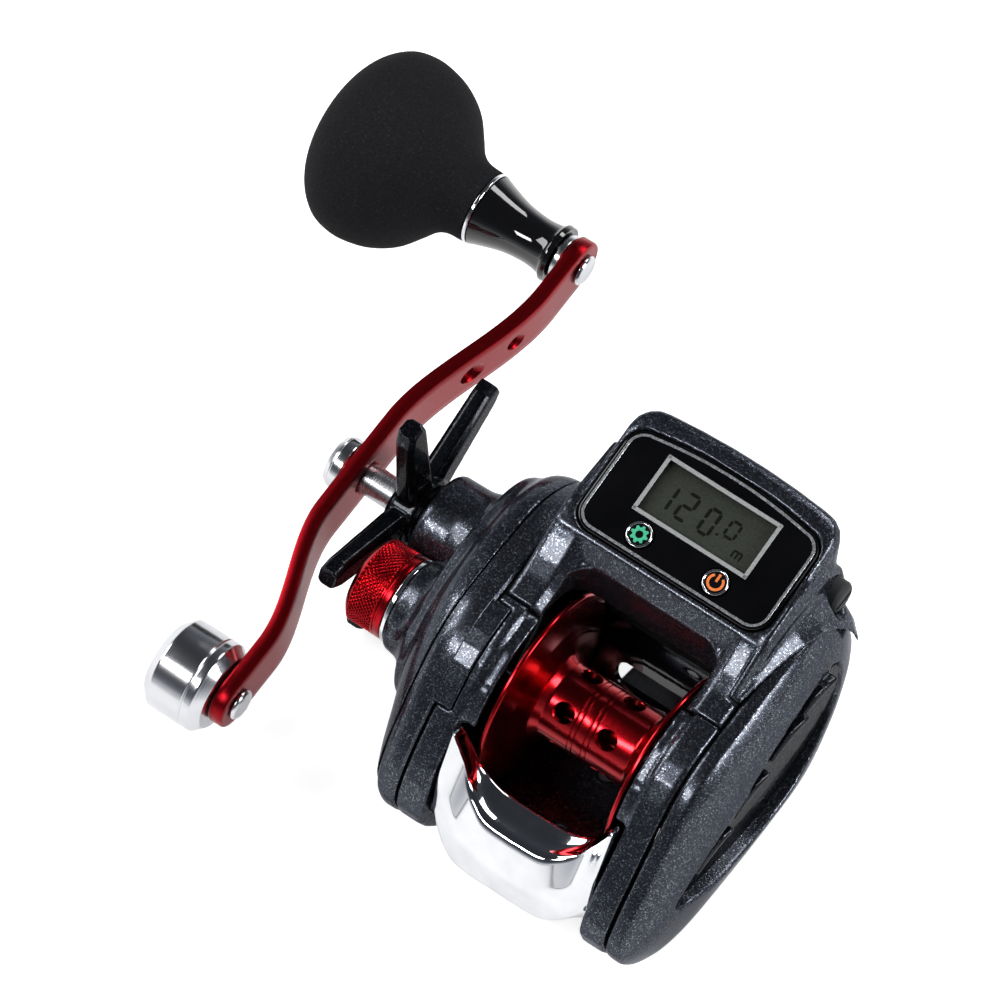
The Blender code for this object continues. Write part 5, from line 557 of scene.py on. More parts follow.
def lathed(name, part, profile, at, steps, reach, finish, way=(1, 0, 0)):
    """A turned piece in the place of a CAD part."""
    return fitted(joined(name, turned(profile, at, steps, reach, way=way)), finish, part)


# Turned metal draws each glint out into rings, finer on ground steel. Hobbing and rolling leave
# short scratches, the weave and the board's copper show as stripes, and the nickel is all but plain.
ground_steel = bar_stock("stainless_steel_ground", "#c4c5c8", 0.22, SPOOL_AXIS, 0.08, 0.08)
drive_steel = bar_stock("stainless_steel_turned", "#b9babd", 0.26, DRIVE_AXIS, 0.14, 0.14)
sheet_steel = grained("stainless_steel_rolled", "#aeb0b3", 0.32, 1.0, 0.2, ("#a2a4a7", "#babcbf"), 0.10,
                      (8, 1, 8))
give(ground_steel, "spool_shaft", "spool_bearing_gear", "spool_bearing_palm", "roller_clutch")
give(sheet_steel, "drag_plate", "clutch_yoke")
give(grained("brass_hobbed", "#c9a45c", 0.28, 1.0, 0.12, ("#b98f49", "#d6b46c"), 0.12, (1, 6, 6)),
     "drive_gear", "levelwind_drive_gear", "pinion_gear", "drive_shaft_bush")
give(grained("nickel_plate", "#c9c6bf", 0.20, 1.0, 0.35, ("#bdb9b1", "#d2cfc8"), 0.06), "magnet_ring")
give(grained("carbon_drag_weave", "#26272a", 0.62, 0.0, 0.30, ("#151618", "#3b3c40"), 0.5, (1, 4, 1),
             (0.35, 0.65)), "drag_washer", "cap_shim")
give(grained("acetal_black", "#16171a", 0.42, 0.0, 0.25, ("#121315", "#1e2023"), span=(0.3, 0.75)),
     "worm_gear", "brake_plate", "display_base")
give(grained("glass_epoxy_green", "#1d5a33", 0.38, 0.0, 0.8, ("#174c2a", "#2a7243", "#174c2a"), 0.12,
             (4, 1, 1), (0.42, 0.58)), "circuit_board")
give(grained("lithium_cell_nickel_steel", "#b9bbbe", 0.30, 1.0, 0.5, ("#a9abae", "#c8cacc"), 0.08, (1, 8, 8)),
     "battery")
lathed("stepped_drive_shaft", "drive_shaft", DRIVE_SHAFT, DRIVE_AXIS, 64, 0.15, drive_steel)
lathed("dished_spring_washer", "spring_washer", SPRING_WASHER, DRIVE_AXIS, 72, 0.06, drive_steel)

# Clutch thumb bar
# A thumb presses this saddle between the plates to free the spool. It is moulded in plastic and
# plated with bright chrome, so it mirrors the tent and the red spool in front of it.
THUMB_HALF_WIDTH, THUMB_BEND = 14.8, 1.5
THUMB_STATIONS = ((0, 0, 0, 0), (0.36, 0.05, 0.02, 0), (0.57, 0.34, 0.08, 0.06), (0.72, 0.62, 0.21, 0.25),
                  (0.83, 0.86, 0.46, 0.50), (0.93, 0.96, 0.76, 0.78), (1, 1, 1, 1))
THUMB_ENDS = ((-0.15, 0.14), (0.0, 0.5))
THUMB_FLAT = THUMB_HALF_WIDTH - 0.5


def saddle_loop(forward, rise, heel):
    """One section: seven corners of (y, z) about the spool axis, placed by three shares and rounded."""
    edge = (-17.8 + 1.35 * forward, 0.8 + 9.0 * rise)
    ridge = (-24.3 + 5.4 * forward, 0.6 + 10.0 * rise)
    low = (-28.4 + 3.6 * heel, -11.2 + 6.2 * heel)
    toe = (-24.2 + 1.8 * heel, -12.6)
    dip = ((edge[0] + ridge[0]) / 2, (edge[1] + ridge[1]) / 2 - 0.9 * (1 - rise))
    belly = ((ridge[0] + low[0]) / 2 - 1.08, (ridge[1] + low[1]) / 2)
    return softened([edge, dip, ridge, belly, low, toe, (-18.6, -5.0)], THUMB_BEND, 8, closed=True)


# A thin film of handling blurs the chrome here and there, so its mirror is never quite even.
chrome, tree, shader, place = material("chrome_plate_bright", "#dddee1", 0.06, 1.0)
film = node(tree, "TexNoise", {"Scale": 260.0, "Detail": 4.0}, {"Vector": place})
limits = {"From Min": 0.35, "From Max": 0.75, "To Min": 0.04, "To Max": 0.11}
feed(shader, {"Roughness": node(tree, "MapRange", limits, {0: film}),
              "Base Color": node(tree, "ValToRGB", {}, {0: film}, ((0.3, "#d8d9dc"), (0.7, "#e2e3e5")))})

half = spline(THUMB_STATIONS, 8, closed=False)
stations = np.vstack([half[:0:-1] * (-1, 1, 1, 1), half])
loops = [saddle_loop(*row[1:]) for row in stations]
inwards = np.sign(np.cross(loops[0][1] - loops[0][0], loops[0][12] - loops[0][0]))
saddle = [side_ring(x, loop) for x, loop in zip(stations[:, 0] * THUMB_FLAT, loops)]
for side, end in ((-1, loops[0]), (1, loops[-1])):
    caps = [side_ring(side * (THUMB_HALF_WIDTH + x), inset(end, margin * inwards))
            for x, margin in THUMB_ENDS]
    saddle = caps[::-1] + saddle if side < 0 else saddle + caps
fitted(joined("saddle_thumb_bar", solid(saddle)), chrome, "thumb_bar", 60)

# Yoke springs
# Two springs, coiled from hard steel wire, push the clutch's yoke back on its posts. On the reel the yoke shortens
# them as the thumb bar goes down; here they are coiled at full length.
SPRING_BACK, SPRING_FROM, SPRING_TO, SPRING_OFFSET, SPRING_HEIGHT = -27.0, -26.7, -23.6, -1.2, 9.0
SPRING_RADIUS, WIRE_RADIUS, SPRING_TURNS = 1.45, 0.25, 3
turn = np.linspace(0, SPRING_TURNS * 2 * np.pi, SPRING_TURNS * 28 + 1)
around = (np.arange(10) * 2 * np.pi / 10)[:, None]
spring_steel = grained("music_wire_drawn", "#a4a6a9", 0.25, 1.0, 0.06, ("#989a9d", "#b0b2b5"), 0.08)
# A helix is a circle that moves on along x; each ring of the wire lies across it, on the radius and x.
spoke = np.stack([np.zeros_like(turn), np.cos(turn), np.sin(turn)], -1)
helix = spoke * SPRING_RADIUS + np.linspace(SPRING_FROM, SPRING_TO, len(turn))[:, None] * (1, 0, 0)
wire = helix[:, None] + WIRE_RADIUS * (np.cos(around) * spoke[:, None] + np.sin(around) * (1, 0, 0))
for label, height in (("upper", SPRING_HEIGHT), ("lower", -SPRING_HEIGHT)):
    centre = SPOOL_AXIS + (0, SPRING_OFFSET, height)
    coil = joined("coil_spring_" + label, solid(wire + centre))
    spring = fitted(coil, spring_steel, "yoke_spring_" + label)
    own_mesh(spring)

# Level wind and guard
# A two-way worm shuttles the line guide along a ground rail. A gloss black guard curves round the
# spool below them, with a slot through which dirt and water leave.
WORM_AXIS = joint_at["worm_spin"]
RAIL_AXIS = WORM_AXIS + (0, 4.2, 1.2)
WORM_HALF, WORM_RADIUS, JOURNAL_RADIUS = 14.5, 2.1, 1.3
GROOVE_PITCH, GROOVE_DEPTH, GROOVE_SHARE = 6.2, 0.5, 0.14
JOURNAL_FROM, JOURNAL_TO = -23.3, 19.7
GUIDE_RAIL = ((-18.3, 0), (-18.3, 0.9), (18.3, 0.9), (18.3, 0))
LINE_EYE = ((-1.5, 1.95), (-1.5, 2.35), (-1.3, 2.5), (1.3, 2.5), (1.5, 2.35), (1.5, 1.95), (0.6, 1.9),
            (-0.6, 1.9))
GUARD_INNER, GUARD_OUTER, GUARD_HALF = 17.12, 18.4, 14.9
GUARD_TURN = np.radians(np.linspace(-64, -3, 72))
SLOT_TURN = np.radians(-37)
SLOT_RADIUS, SLOT_LEFT, SLOT_RIGHT, SLOT_NEAR, SLOT_FAR = 1.79, -7.5, 11.2, 15.0, 20.0


def groove(angle):
    """A helical groove: 1 where the helix passes, falling to 0 with the square of the distance."""
    phase = (x / GROOVE_PITCH - angle / (2 * np.pi)) % 1.0
    return np.clip(1 - (np.minimum(phase, 1 - phase) / GROOVE_SHARE) ** 2, 0, 1)


x, turn = np.meshgrid(np.linspace(-WORM_HALF, WORM_HALF, 241), np.arange(56) * 2 * np.pi / 56, indexing="ij")
fade = np.clip((WORM_HALF - np.abs(x)) / GROOVE_PITCH * 2, 0, 1)
cut_depth = GROOVE_DEPTH * fade * np.maximum(groove(turn), groove(-turn))
thread = about(x, WORM_RADIUS - cut_depth, turn, WORM_AXIS)
start, end = (about(np.array(span)[:, None], JOURNAL_RADIUS, turn[0], WORM_AXIS)
              for span in ((JOURNAL_FROM, -WORM_HALF), (WORM_HALF, JOURNAL_TO)))
worm_steel = bar_stock("stainless_steel_worm", "#c2c3c6", 0.20, WORM_AXIS, 0.10, 0.08)
fitted(joined("two_way_worm", solid([*start, *thread, *end])), worm_steel, "worm_shaft", 50)
lathed("guide_rail_rod", "guide_rail", GUIDE_RAIL, RAIL_AXIS, 40, 0.12, worm_steel)

# The black moulding has the faint ripple of a polished tool, which bends its long reflections.
gloss_black, tree, shader, place = material("moulded_plastic_gloss_black", "#0c0c0e", 0.10, 0.0,
                                            Coat_Weight=0.5, Coat_Roughness=0.04)
ripple = node(tree, "TexNoise", {"Scale": 900.0, "Detail": 2.0}, {"Vector": place})
feed(shader, {"Normal": node(tree, "Bump", {"Strength": 0.05, "Distance": 0.0002}, {"Height": ripple}),
              "Roughness": node(tree, "ValToRGB", {}, {0: ripple}, ((0.35, "#303030"), (0.7, "#4a4a4a")))})
recast("line_guide_carriage", "line_guide", 0.14, 3, gloss_black)
eye_metal = bar_stock("aluminium_polished_eye", "#c9cacd", 0.12, SPOOL_AXIS, 0.2, 0.05)
lathed("line_eye", "guide_insert", LINE_EYE, sum(box_mm("guide_insert")) / 2, 56, 0.15, eye_metal, (0, 1, 0))

section = softened([(-GUARD_HALF, GUARD_INNER), (GUARD_HALF, GUARD_INNER), (GUARD_HALF, GUARD_OUTER),
                    (-GUARD_HALF, GUARD_OUTER)], 0.35, 3, closed=True)
wall = about(section[:, 0], section[:, 1], GUARD_TURN[:, None], SPOOL_AXIS)
toward = np.array([0.0, np.cos(SLOT_TURN), np.sin(SLOT_TURN)])
beside = np.array([0.0, -toward[2], toward[1]])
turn = np.arange(48) * 2 * np.pi / 48
slot_end = np.where(np.cos(turn) < 0, SLOT_LEFT + SLOT_RADIUS, SLOT_RIGHT - SLOT_RADIUS)
slot_x = (slot_end + SLOT_RADIUS * np.cos(turn))[:, None]
slot_ring = SPOOL_AXIS + slot_x * (1, 0, 0) + SLOT_RADIUS * np.sin(turn)[:, None] * beside
slot = solid([slot_ring + toward * reach for reach in (SLOT_NEAR, SLOT_FAR)])
fitted(carve(joined("curved_line_guard", solid(wall)), slot), gloss_black, "line_shield")

# Line counter
# The counter's face is a slab of dark glass with a fine silver frame. Under it a liquid crystal
# panel shows the line that is out, and a key on each side sets and switches it.
FACE_TILT = np.radians(12)
FACE_AT = SPOOL_AXIS + (0, 24.2, 26.8)
FACE_FORWARD = np.array([0, np.cos(FACE_TILT), np.sin(FACE_TILT)])
FACE_UP = np.array([0, -np.sin(FACE_TILT), np.cos(FACE_TILT)])
GLASS_HALF, GLASS_REAR, GLASS_FRONT, GLASS_CORNER, GLASS_ARCH = 17.5, 9.5, 8.8, 3.5, 1.2
GLASS_STEPS = ((-1.0, 0.1), (-0.9, 0.0), (-0.32, 0.0), (-0.16, 0.05), (-0.04, 0.17), (0.0, 0.32))
LCD_MIDDLE, LCD_HALF_WIDTH, LCD_HALF_LENGTH, LCD_TOP = 2.1, 10.4, 5.0, -1.4
LCD_STEPS = ((-3.5, 0.1), (-3.4, 0.0), (-1.45, 0.0), (LCD_TOP, 0.05))
WINDOW_HALF_WIDTH, WINDOW_HALF_LENGTH = 9.95, 4.55
KEY_X, KEY_S, KEY_RADIUS, KEY_GAP = 7.0, -5.8, 2.1, 0.2
DIGIT_BARS = {"0": "abcdef", "1": "bc", "2": "abged"}
DIGIT_SLANT, BAR_GAP, BAR_BASE, BAR_TOP = 0.02, 0.10, -0.02, 0.05
DIGITS = (("1", -7.4, -0.25, 1.95, 4.2, 0.27), ("2", -3.8, -0.15, 1.95, 4.4, 0.27),
          ("0", 0.35, -0.2, 1.85, 4.2, 0.27), ("0", 4.1, 0.6, 1.7, 2.7, 0.23))
POINT = (2.45, -1.2, 0.001, 0.28, 0.26)
UNIT_BARS = ((6.2, -2.45, 0, 0.62), (6.9, -2.45, 0, 0.62), (7.6, -2.45, 0, 0.62), (6.9, -1.83, 0.8, 0))
UNIT_BAR_HALF = 0.15


def on_face(plan, height=0.0):
    """Points (x, s) laid on the tilted face at a height above it."""
    return FACE_AT + plan[:, :1] * (1, 0, 0) + plan[:, 1:] * FACE_FORWARD + FACE_UP * height


def glass_outline(half_width, rear, front, corner, arch, steps=12):
    """A rounded rectangle: a quarter circle at each corner, the front edge arched as a parabola."""
    quarter = np.linspace(0, np.pi / 2, steps)
    across = half_width - corner
    share = np.linspace(1, -1, 26)[1:-1]
    ahead, behind = front - corner, corner - rear
    arcs = []
    for index, (side, s) in enumerate(((1, ahead), (-1, ahead), (-1, behind), (1, behind))):
        turn = quarter + index * np.pi / 2
        arcs.append(np.column_stack([np.cos(turn), np.sin(turn)]) * corner + (side * across, s))
    return np.vstack([arcs[0], np.column_stack([share * across, front + arch * (1 - share ** 2)])] + arcs[1:])


def slab(plan, steps, wrap_rows=False):
    """A body on the face: the plan at each (height, margin), the margin taken off all round."""
    return solid([on_face(inset(plan, margin), height) for height, margin in steps], wrap_rows)


def frame_strip(plan, outer, inner, low, high, edge=0.06):
    """A raised strip that follows a plan, between two margins, with its upper edges eased."""
    steps = ((low, inner), (low, outer), (high - edge, outer), (high, outer + edge), (high, inner - edge),
             (high - edge, inner))
    return slab(plan, steps, True)


def oblong(half_width, half_length, corner):
    """A rectangle about the display's middle with rounded corners."""
    return glass_outline(half_width, half_length, half_length, corner, 0.0, 6) + (0, LCD_MIDDLE)


def bar(middle, s, run_x, run_s, half_thick):
    """A thin bar with mitred tips, from its middle and half its run, leaning with the digit."""
    run = np.array([run_x, run_s], float)
    length = np.linalg.norm(run)
    ahead = run / length
    aside = np.array([-ahead[1], ahead[0]]) * half_thick
    inner = ahead * (length - half_thick)
    loop = np.array([run, inner + aside, -inner + aside, -run, -inner - aside, inner - aside])
    loop += (middle, LCD_MIDDLE + s)
    loop[:, 0] += (loop[:, 1] - LCD_MIDDLE) * DIGIT_SLANT
    return solid([on_face(loop, LCD_TOP + height) for height in (BAR_BASE, BAR_TOP)])


# The glass is black from behind and only smeared in front, so it mirrors the tent softly. The ink
# of its frame twinkles, the trim is dull, and the panel has the haze of the foil at its back.
smoked_glass, tree, shader, place = material("counter_glass_black_backed", "#060607", 0.05, 0.0,
                                             Coat_Weight=0.2, Coat_Roughness=0.02, Specular_IOR_Level=0.35)
smear = node(tree, "TexNoise", {"Scale": 180.0, "Detail": 3.0}, {"Vector": place})
feed(shader, {"Roughness": node(tree, "MapRange", {"To Min": 0.04, "To Max": 0.12}, {0: smear}),
              "Base Color": node(tree, "ValToRGB", {}, {0: smear}, ((0.3, "#050506"), (0.7, "#09090a")))})
SILVER = ((0.0, "#84878c"), (0.5, "#a9acb0"), (0.85, "#d2d4d7"), (1.0, "#ffffff"))
silver_ink = flake_paint("silver_flake_ink", SILVER, 0.30, 0.22, 0.20)
grey_trim = grained("moulded_trim_light_grey", "#8d8f8f", 0.45, 0.0, 0.3, ("#838585", "#999b9b"), 0.05)
lcd_panel = grained("liquid_crystal_panel", "#3c4039", 0.40, 0.0, 0.34, ("#383c35", "#42463e"), 0.04,
                    span=(0.35, 0.65), Specular_IOR_Level=0.2)
lcd_ink = grained("liquid_crystal_dark", "#131512", 0.45, 0.0, 0.3, ("#10120f", "#171915"), 0.04,
                  Specular_IOR_Level=0.1)
pane, tree, shader, place = material("window_glass_clear", "#0d0e10", 0.03, 0.0, Alpha=0.10,
                                     Specular_IOR_Level=0.6)
mist = node(tree, "TexNoise", {"Scale": 200.0}, {"Vector": place})
feed(shader, {"Base Color": node(tree, "ValToRGB", {}, {0: mist}, ((0.3, "#0b0c0e"), (0.7, "#101114")))})

glass_plan = glass_outline(GLASS_HALF, GLASS_REAR, GLASS_FRONT, GLASS_CORNER, GLASS_ARCH)
window = oblong(WINDOW_HALF_WIDTH, WINDOW_HALF_LENGTH, 0.5)
key_at = {side: on_face(np.array([[side * KEY_X, KEY_S]]))[0] for side in (-1, 1)}
free = KEY_RADIUS + KEY_GAP
bore = ((-3, 0), (-3, free), (-0.15, free), (1.0, free + 1), (1.0, 0))
bores = [turned(bore, key_at[side], 48, way=FACE_UP) for side in (-1, 1)]
glass = joined("counter_glass", slab(glass_plan, GLASS_STEPS))
fitted(carve(glass, slab(window, ((-3, 0), (1, 0))), *bores), smoked_glass, "display_glass", 30)
silver_frame = joined("glass_silver_frame", frame_strip(glass_plan, 0.5, 0.98, -0.1, 0.035))
added(silver_frame, silver_ink, "body")
trim_plan = oblong(LCD_HALF_WIDTH + 0.1, LCD_HALF_LENGTH + 0.1, 0.12)
trim = joined("window_trim", frame_strip(trim_plan, 0.0, 0.66, -0.1, 0.05))
added(trim, grey_trim, "body")
panel = slab(oblong(LCD_HALF_WIDTH, LCD_HALF_LENGTH, 0.3), LCD_STEPS)
fitted(joined("liquid_crystal_module", panel), lcd_panel, "lcd_module")

# A digit's bars are lettered as on any seven-bar display: a is the top, g the middle, d the bottom.
bars = []
for text, x_at, s_at, wide, tall, thick in DIGITS:
    w, t = wide / 2, tall / 2
    layout = {"a": (0, t, w, 0), "g": (0, 0, w, 0), "d": (0, -t, w, 0), "b": (w, t / 2, 0, t / 2),
              "c": (w, -t / 2, 0, t / 2), "f": (-w, t / 2, 0, t / 2), "e": (-w, -t / 2, 0, t / 2)}
    for dx, ds, run_x, run_s in (layout[letter] for letter in DIGIT_BARS[text]):
        run = [length - BAR_GAP if length else 0 for length in (run_x, run_s)]
        bars.append(bar(x_at + dx, s_at + ds, *run, thick))
bars.append(bar(*POINT))
bars += [bar(*place, UNIT_BAR_HALF) for place in UNIT_BARS]
added(joined("crystal_digits", *bars), lcd_ink, "body")
window_pane = joined("window_pane", slab(window, ((-0.5, 0.03), (-0.05, 0.03))))
added(window_pane, pane, "body")

# Counter keys
# Each key is a gloss black cap in a plated ring, with a printed sign: a gear for the setting, a
# broken ring and a stroke for the power. The enamel of the signs is smooth and a little glossy.
KEY_CAP = ((-3.0, 0), (-3.0, 1.1), (-0.5, 1.1), (-0.5, 2.1), (0.05, 2.1), (0.16, 1.95), (0.18, 1.4),
           (0.18, 0))
KEY_RING = ((0.02, 1.72), (0.02, 2.08), (0.22, 2.08), (0.3, 1.98), (0.3, 1.84), (0.22, 1.74))
SIGN_LOW, SIGN_HIGH = 0.12, 0.24
GEAR_HOLE, GEAR_RADIUS, GEAR_TOOTH, GEAR_TEETH = 0.62, 1.26, 0.17, 8
POWER_INNER, POWER_OUTER, POWER_TURN = 0.98, 1.40, np.radians(np.linspace(128, 412, 64))
STROKE = np.array([(0.21, 1.45), (-0.21, 1.45), (-0.21, 0.1), (0.21, 0.1)])


def hoop(inner, outer, turn, side):
    """The four edge lines of a flat hoop round a key's middle, between two radii."""
    lines = []
    for radius, height in ((inner, SIGN_LOW), (outer, SIGN_LOW), (outer, SIGN_HIGH), (inner, SIGN_HIGH)):
        ring = np.column_stack([radius * np.cos(turn), radius * np.sin(turn)])
        lines.append(on_face(ring + (side * KEY_X, KEY_S), height))
    return lines


turn = np.arange(96) * 2 * np.pi / 96
teeth = GEAR_RADIUS + GEAR_TOOTH * np.tanh(4 * np.cos(GEAR_TEETH * turn))
gear = hoop(GEAR_HOLE, teeth, turn, -1)
arc = np.stack(hoop(POWER_INNER, POWER_OUTER, POWER_TURN, 1), 1)
stroke = solid([on_face(STROKE + (KEY_X, KEY_S), height) for height in (SIGN_LOW, SIGN_HIGH)])
for side, label, sign, ink, shades in (
        (-1, "mode", [solid(gear, True)], ("enamel_print_green", "#3fae83"), ("#37a078", "#49bf91")),
        (1, "power", [solid(arc), stroke], ("enamel_print_orange", "#e0722f"), ("#d56626", "#ea8442"))):
    key = label + "_key"
    lathed(key + "_cap", label + "_button", KEY_CAP, key_at[side], 56, 0.06, gloss_black, FACE_UP)
    plated = joined(key + "_ring", turned(KEY_RING, key_at[side], 72, 0.05, way=FACE_UP))
    added(plated, chrome, key)
    enamel = grained(*ink, 0.35, 0.0, 0.2, shades, 0.05)
    added(joined(label + "_sign", *sign), enamel, key)

# Cell cap
# A coin turns the round cap over the button cell in the housing's side. It is matt black rubber,
# a dull grain that takes no glint, and the two screws beside it are blackened zinc.
CELL_CAP_Y, CELL_CAP_Z = 31.2, 17.3
CELL_CAP = ((19.3, 0), (19.3, 2.7), (21.3, 2.7), (21.8, 2.35), (22.0, 1.9), (22.0, 0))
COIN_SLOT = np.array([(-2.1, -0.45), (2.1, -0.45), (2.1, 0.45), (-2.1, 0.45)])
COIN_FROM, COIN_TO = 21.4, 23.0
matt_rubber = grained("rubber_matt_black", "#1b1c1e", 0.70, 0.0, 0.22, ("#161719", "#232427"), 0.25)
cell_cap = joined("cell_cap_disc", turned(CELL_CAP, SPOOL_AXIS + (0, CELL_CAP_Y, CELL_CAP_Z), 64, 0.12))
coin = solid([side_ring(x_at, COIN_SLOT + (CELL_CAP_Y, CELL_CAP_Z)) for x_at in (COIN_FROM, COIN_TO)])
fitted(carve(cell_cap, coin), matt_rubber, "battery_cap")
give(grained("screw_zinc_black", "#3a3b3e", 0.35, 1.0, 0.15, ("#303134", "#47484c")),
     "cover_screw_1", "cover_screw_2")

# Tension cap
# The cast control cap screws down on the spool's shaft. It is turned from aluminium, knurled in
# fine diamonds for wet fingers, anodised red, and runs against a thin plated ring.
CAP_RADIUS, KNURL_FROM, KNURL_TO, KNURL_FADE = 7.2, -43.25, -38.75, 0.25
KNURLS_ROUND, KNURL_PITCH, KNURL_DEPTH, KNURL_DROP = 56, 0.80, 0.24, 0.02
CAP_INNER_END = ((-43.2, 0), (-43.2, 5.8), (-37.25, 5.8), (-37.2, 6.9), (-37.2, 7.12), (-37.35, 7.2),
                 (-38.15, 7.2), (-38.25, 6.95), (-38.5, 6.95), (-38.6, 7.18))
CAP_OUTER_END = ((-43.4, 7.1), (-44.3, 5.95), (-44.3, 4.6), (-44.08, 4.2), (-44.08, 0))
CAP_RING = ((-37.0, 5.9), (-37.0, 7.2), (-36.92, 7.3), (-36.4, 7.3), (-36.3, 7.2), (-36.3, 5.9))
turn = np.arange(KNURLS_ROUND * 8) / (KNURLS_ROUND * 8)
x = np.linspace(KNURL_FROM, KNURL_TO, 58)[::-1, None]
falling = (turn * KNURLS_ROUND + x / KNURL_PITCH) % 1.0
rising = (turn * KNURLS_ROUND - x / KNURL_PITCH) % 1.0
diamond = np.clip(1.5 * np.minimum(1 - np.abs(2 * falling - 1), 1 - np.abs(2 * rising - 1)), 0, 1)
cut_share = np.clip(np.minimum(x - KNURL_FROM, KNURL_TO - x) / KNURL_FADE, 0, 1)
knurled = CAP_RADIUS - KNURL_DROP - KNURL_DEPTH * cut_share * (1 - diamond)
inner_end, outer_end = softened(CAP_INNER_END, 0.05, 3), softened(CAP_OUTER_END, 0.2, 4)
cap = np.vstack([about(at, radius, 2 * np.pi * turn, SPOOL_AXIS) for at, radius in
                 ((inner_end[:, :1], inner_end[:, 1:]), (x, knurled), (outer_end[:, :1], outer_end[:, 1:]))])
red_cap = bar_stock("anodised_aluminium_red_cap", "#a8141d", 0.22, SPOOL_AXIS, 0.2, 0.10)
fitted(joined("knurled_tension_cap", skin(cap)), red_cap, "cast_control_cap", 25)
lathed("cap_trim_ring", "cap_ring", CAP_RING, SPOOL_AXIS, 96, 0.05, chrome)

# Star drag
# The five arms of the star are turned to set the drag. It is cast, sprayed with the darker flake
# and lacquered until its rounded arms shine.
recast("star_wheel", "star_drag", 0.20, 5, black_flake)

# Handle arm
# The arm is pressed from aluminium plate, milled round its edge, bent towards the reel at both
# ends, bead blasted to a satin and anodised red.
ARM_ANGLE = np.radians(3.95)
ARM_ALONG = np.array([0, np.cos(ARM_ANGLE), np.sin(ARM_ANGLE)])
ARM_ASIDE = np.array([0, -np.sin(ARM_ANGLE), np.cos(ARM_ANGLE)])
ARM_INNER, ARM_THICKNESS, ARM_FLAT, ARM_BEVEL = -55.8, 2.6, 9.0, 0.42
KNOB_LENGTH, KNOB_SET, KNOB_BEND = 48.0, 6.4, 40.0
WEIGHT_LENGTH, WEIGHT_SET, WEIGHT_BEND = 42.0, 6.2, 33.0
HUB_HALF, END_HALF = 5.0, 4.5
ARM_HOLES = ((0.0, 2.8), (KNOB_LENGTH, 1.7), (-WEIGHT_LENGTH, 1.7), (23.0, 1.6), (31.5, 1.3))
HOLE_FLARE = 0.35


def ease(share):
    """Smooth step: slow, fast and slow again between 0 and 1."""
    share = np.clip(share, 0, 1)
    return share * share * (3 - 2 * share)


def arm_face(along):
    """X of the arm's inner face: flat at the hub, then set in by a smooth step towards each end."""
    knob = KNOB_SET * ease((along - ARM_FLAT) / (KNOB_BEND - ARM_FLAT))
    weight = WEIGHT_SET * ease((-along - ARM_FLAT) / (WEIGHT_BEND - ARM_FLAT))
    return ARM_INNER + knob + weight


def arm_half(along):
    """Half the arm's width: it narrows by a smooth step from the hub to the ends."""
    limit = np.where(along > 0, KNOB_LENGTH, WEIGHT_LENGTH)
    return HUB_HALF + (END_HALF - HUB_HALF) * ease(np.abs(along) / limit)


def arm_points(along, aside, depth):
    """Places on the arm: along it, across it, and down from its inner face."""
    x_at = (arm_face(along) - depth)[..., None] * (1, 0, 0)
    return DRIVE_AXIS + x_at + along[..., None] * ARM_ALONG + aside[..., None] * ARM_ASIDE


def arm_edge(margin):
    """Half the outline from tip to tip: a quarter round, the long side, a quarter round."""
    arc = np.linspace(np.pi / 2, 0, 22)[:-1]
    straight = np.linspace(-WEIGHT_LENGTH, KNOB_LENGTH, 150)
    r = END_HALF - margin
    along = np.concatenate([-WEIGHT_LENGTH - r * np.sin(arc), straight, KNOB_LENGTH + r * np.sin(arc[::-1])])
    half = np.concatenate([r * np.cos(arc), arm_half(straight) - margin, r * np.cos(arc[::-1])])
    return along, half


bevel = [(0.0, ARM_BEVEL), (ARM_BEVEL * 0.3, ARM_BEVEL * 0.3), (ARM_BEVEL, 0.0)]
edge = []
for depth, margin in bevel + [(ARM_THICKNESS - depth, margin) for depth, margin in bevel[::-1]]:
    along, half = arm_edge(margin)
    there_and_back = np.concatenate([along, along[-2:0:-1]])
    edge.append(arm_points(there_and_back, np.concatenate([-half, half[-2:0:-1]]), depth))
along, half = arm_edge(ARM_BEVEL)
across = np.linspace(-1, 1, 7)[:, None]
faces = [skin(arm_points(np.repeat(along[None], 7, 0), across * half, depth), wrap_cols=False)
         for depth in (0.0, ARM_THICKNESS)]
drills = []
for along_at, hole in ARM_HOLES:
    inner_x = float(arm_face(np.array(along_at)))
    outer_x = inner_x - ARM_THICKNESS
    mouth = hole + 1.0 + HOLE_FLARE
    drills.append(turned(((outer_x - 1.0, 0), (outer_x - 1.0, mouth), (outer_x + HOLE_FLARE, hole),
                          (inner_x - HOLE_FLARE, hole), (inner_x + 1.0, mouth), (inner_x + 1.0, 0)),
                         DRIVE_AXIS + along_at * ARM_ALONG, 48))
arm = carve(joined("bent_handle_arm", skin(np.array(edge)), *faces), *drills)
# The blasted skin scatters light, so the arm's broad faces are an even deep red with soft glints.
red_arm = grained("anodised_aluminium_red_satin", "#860f17", 0.30, 1.0, 0.14, ("#7d0b13", "#92131c"), 0.20)
fitted(arm, red_arm, "handle_arm", 30)

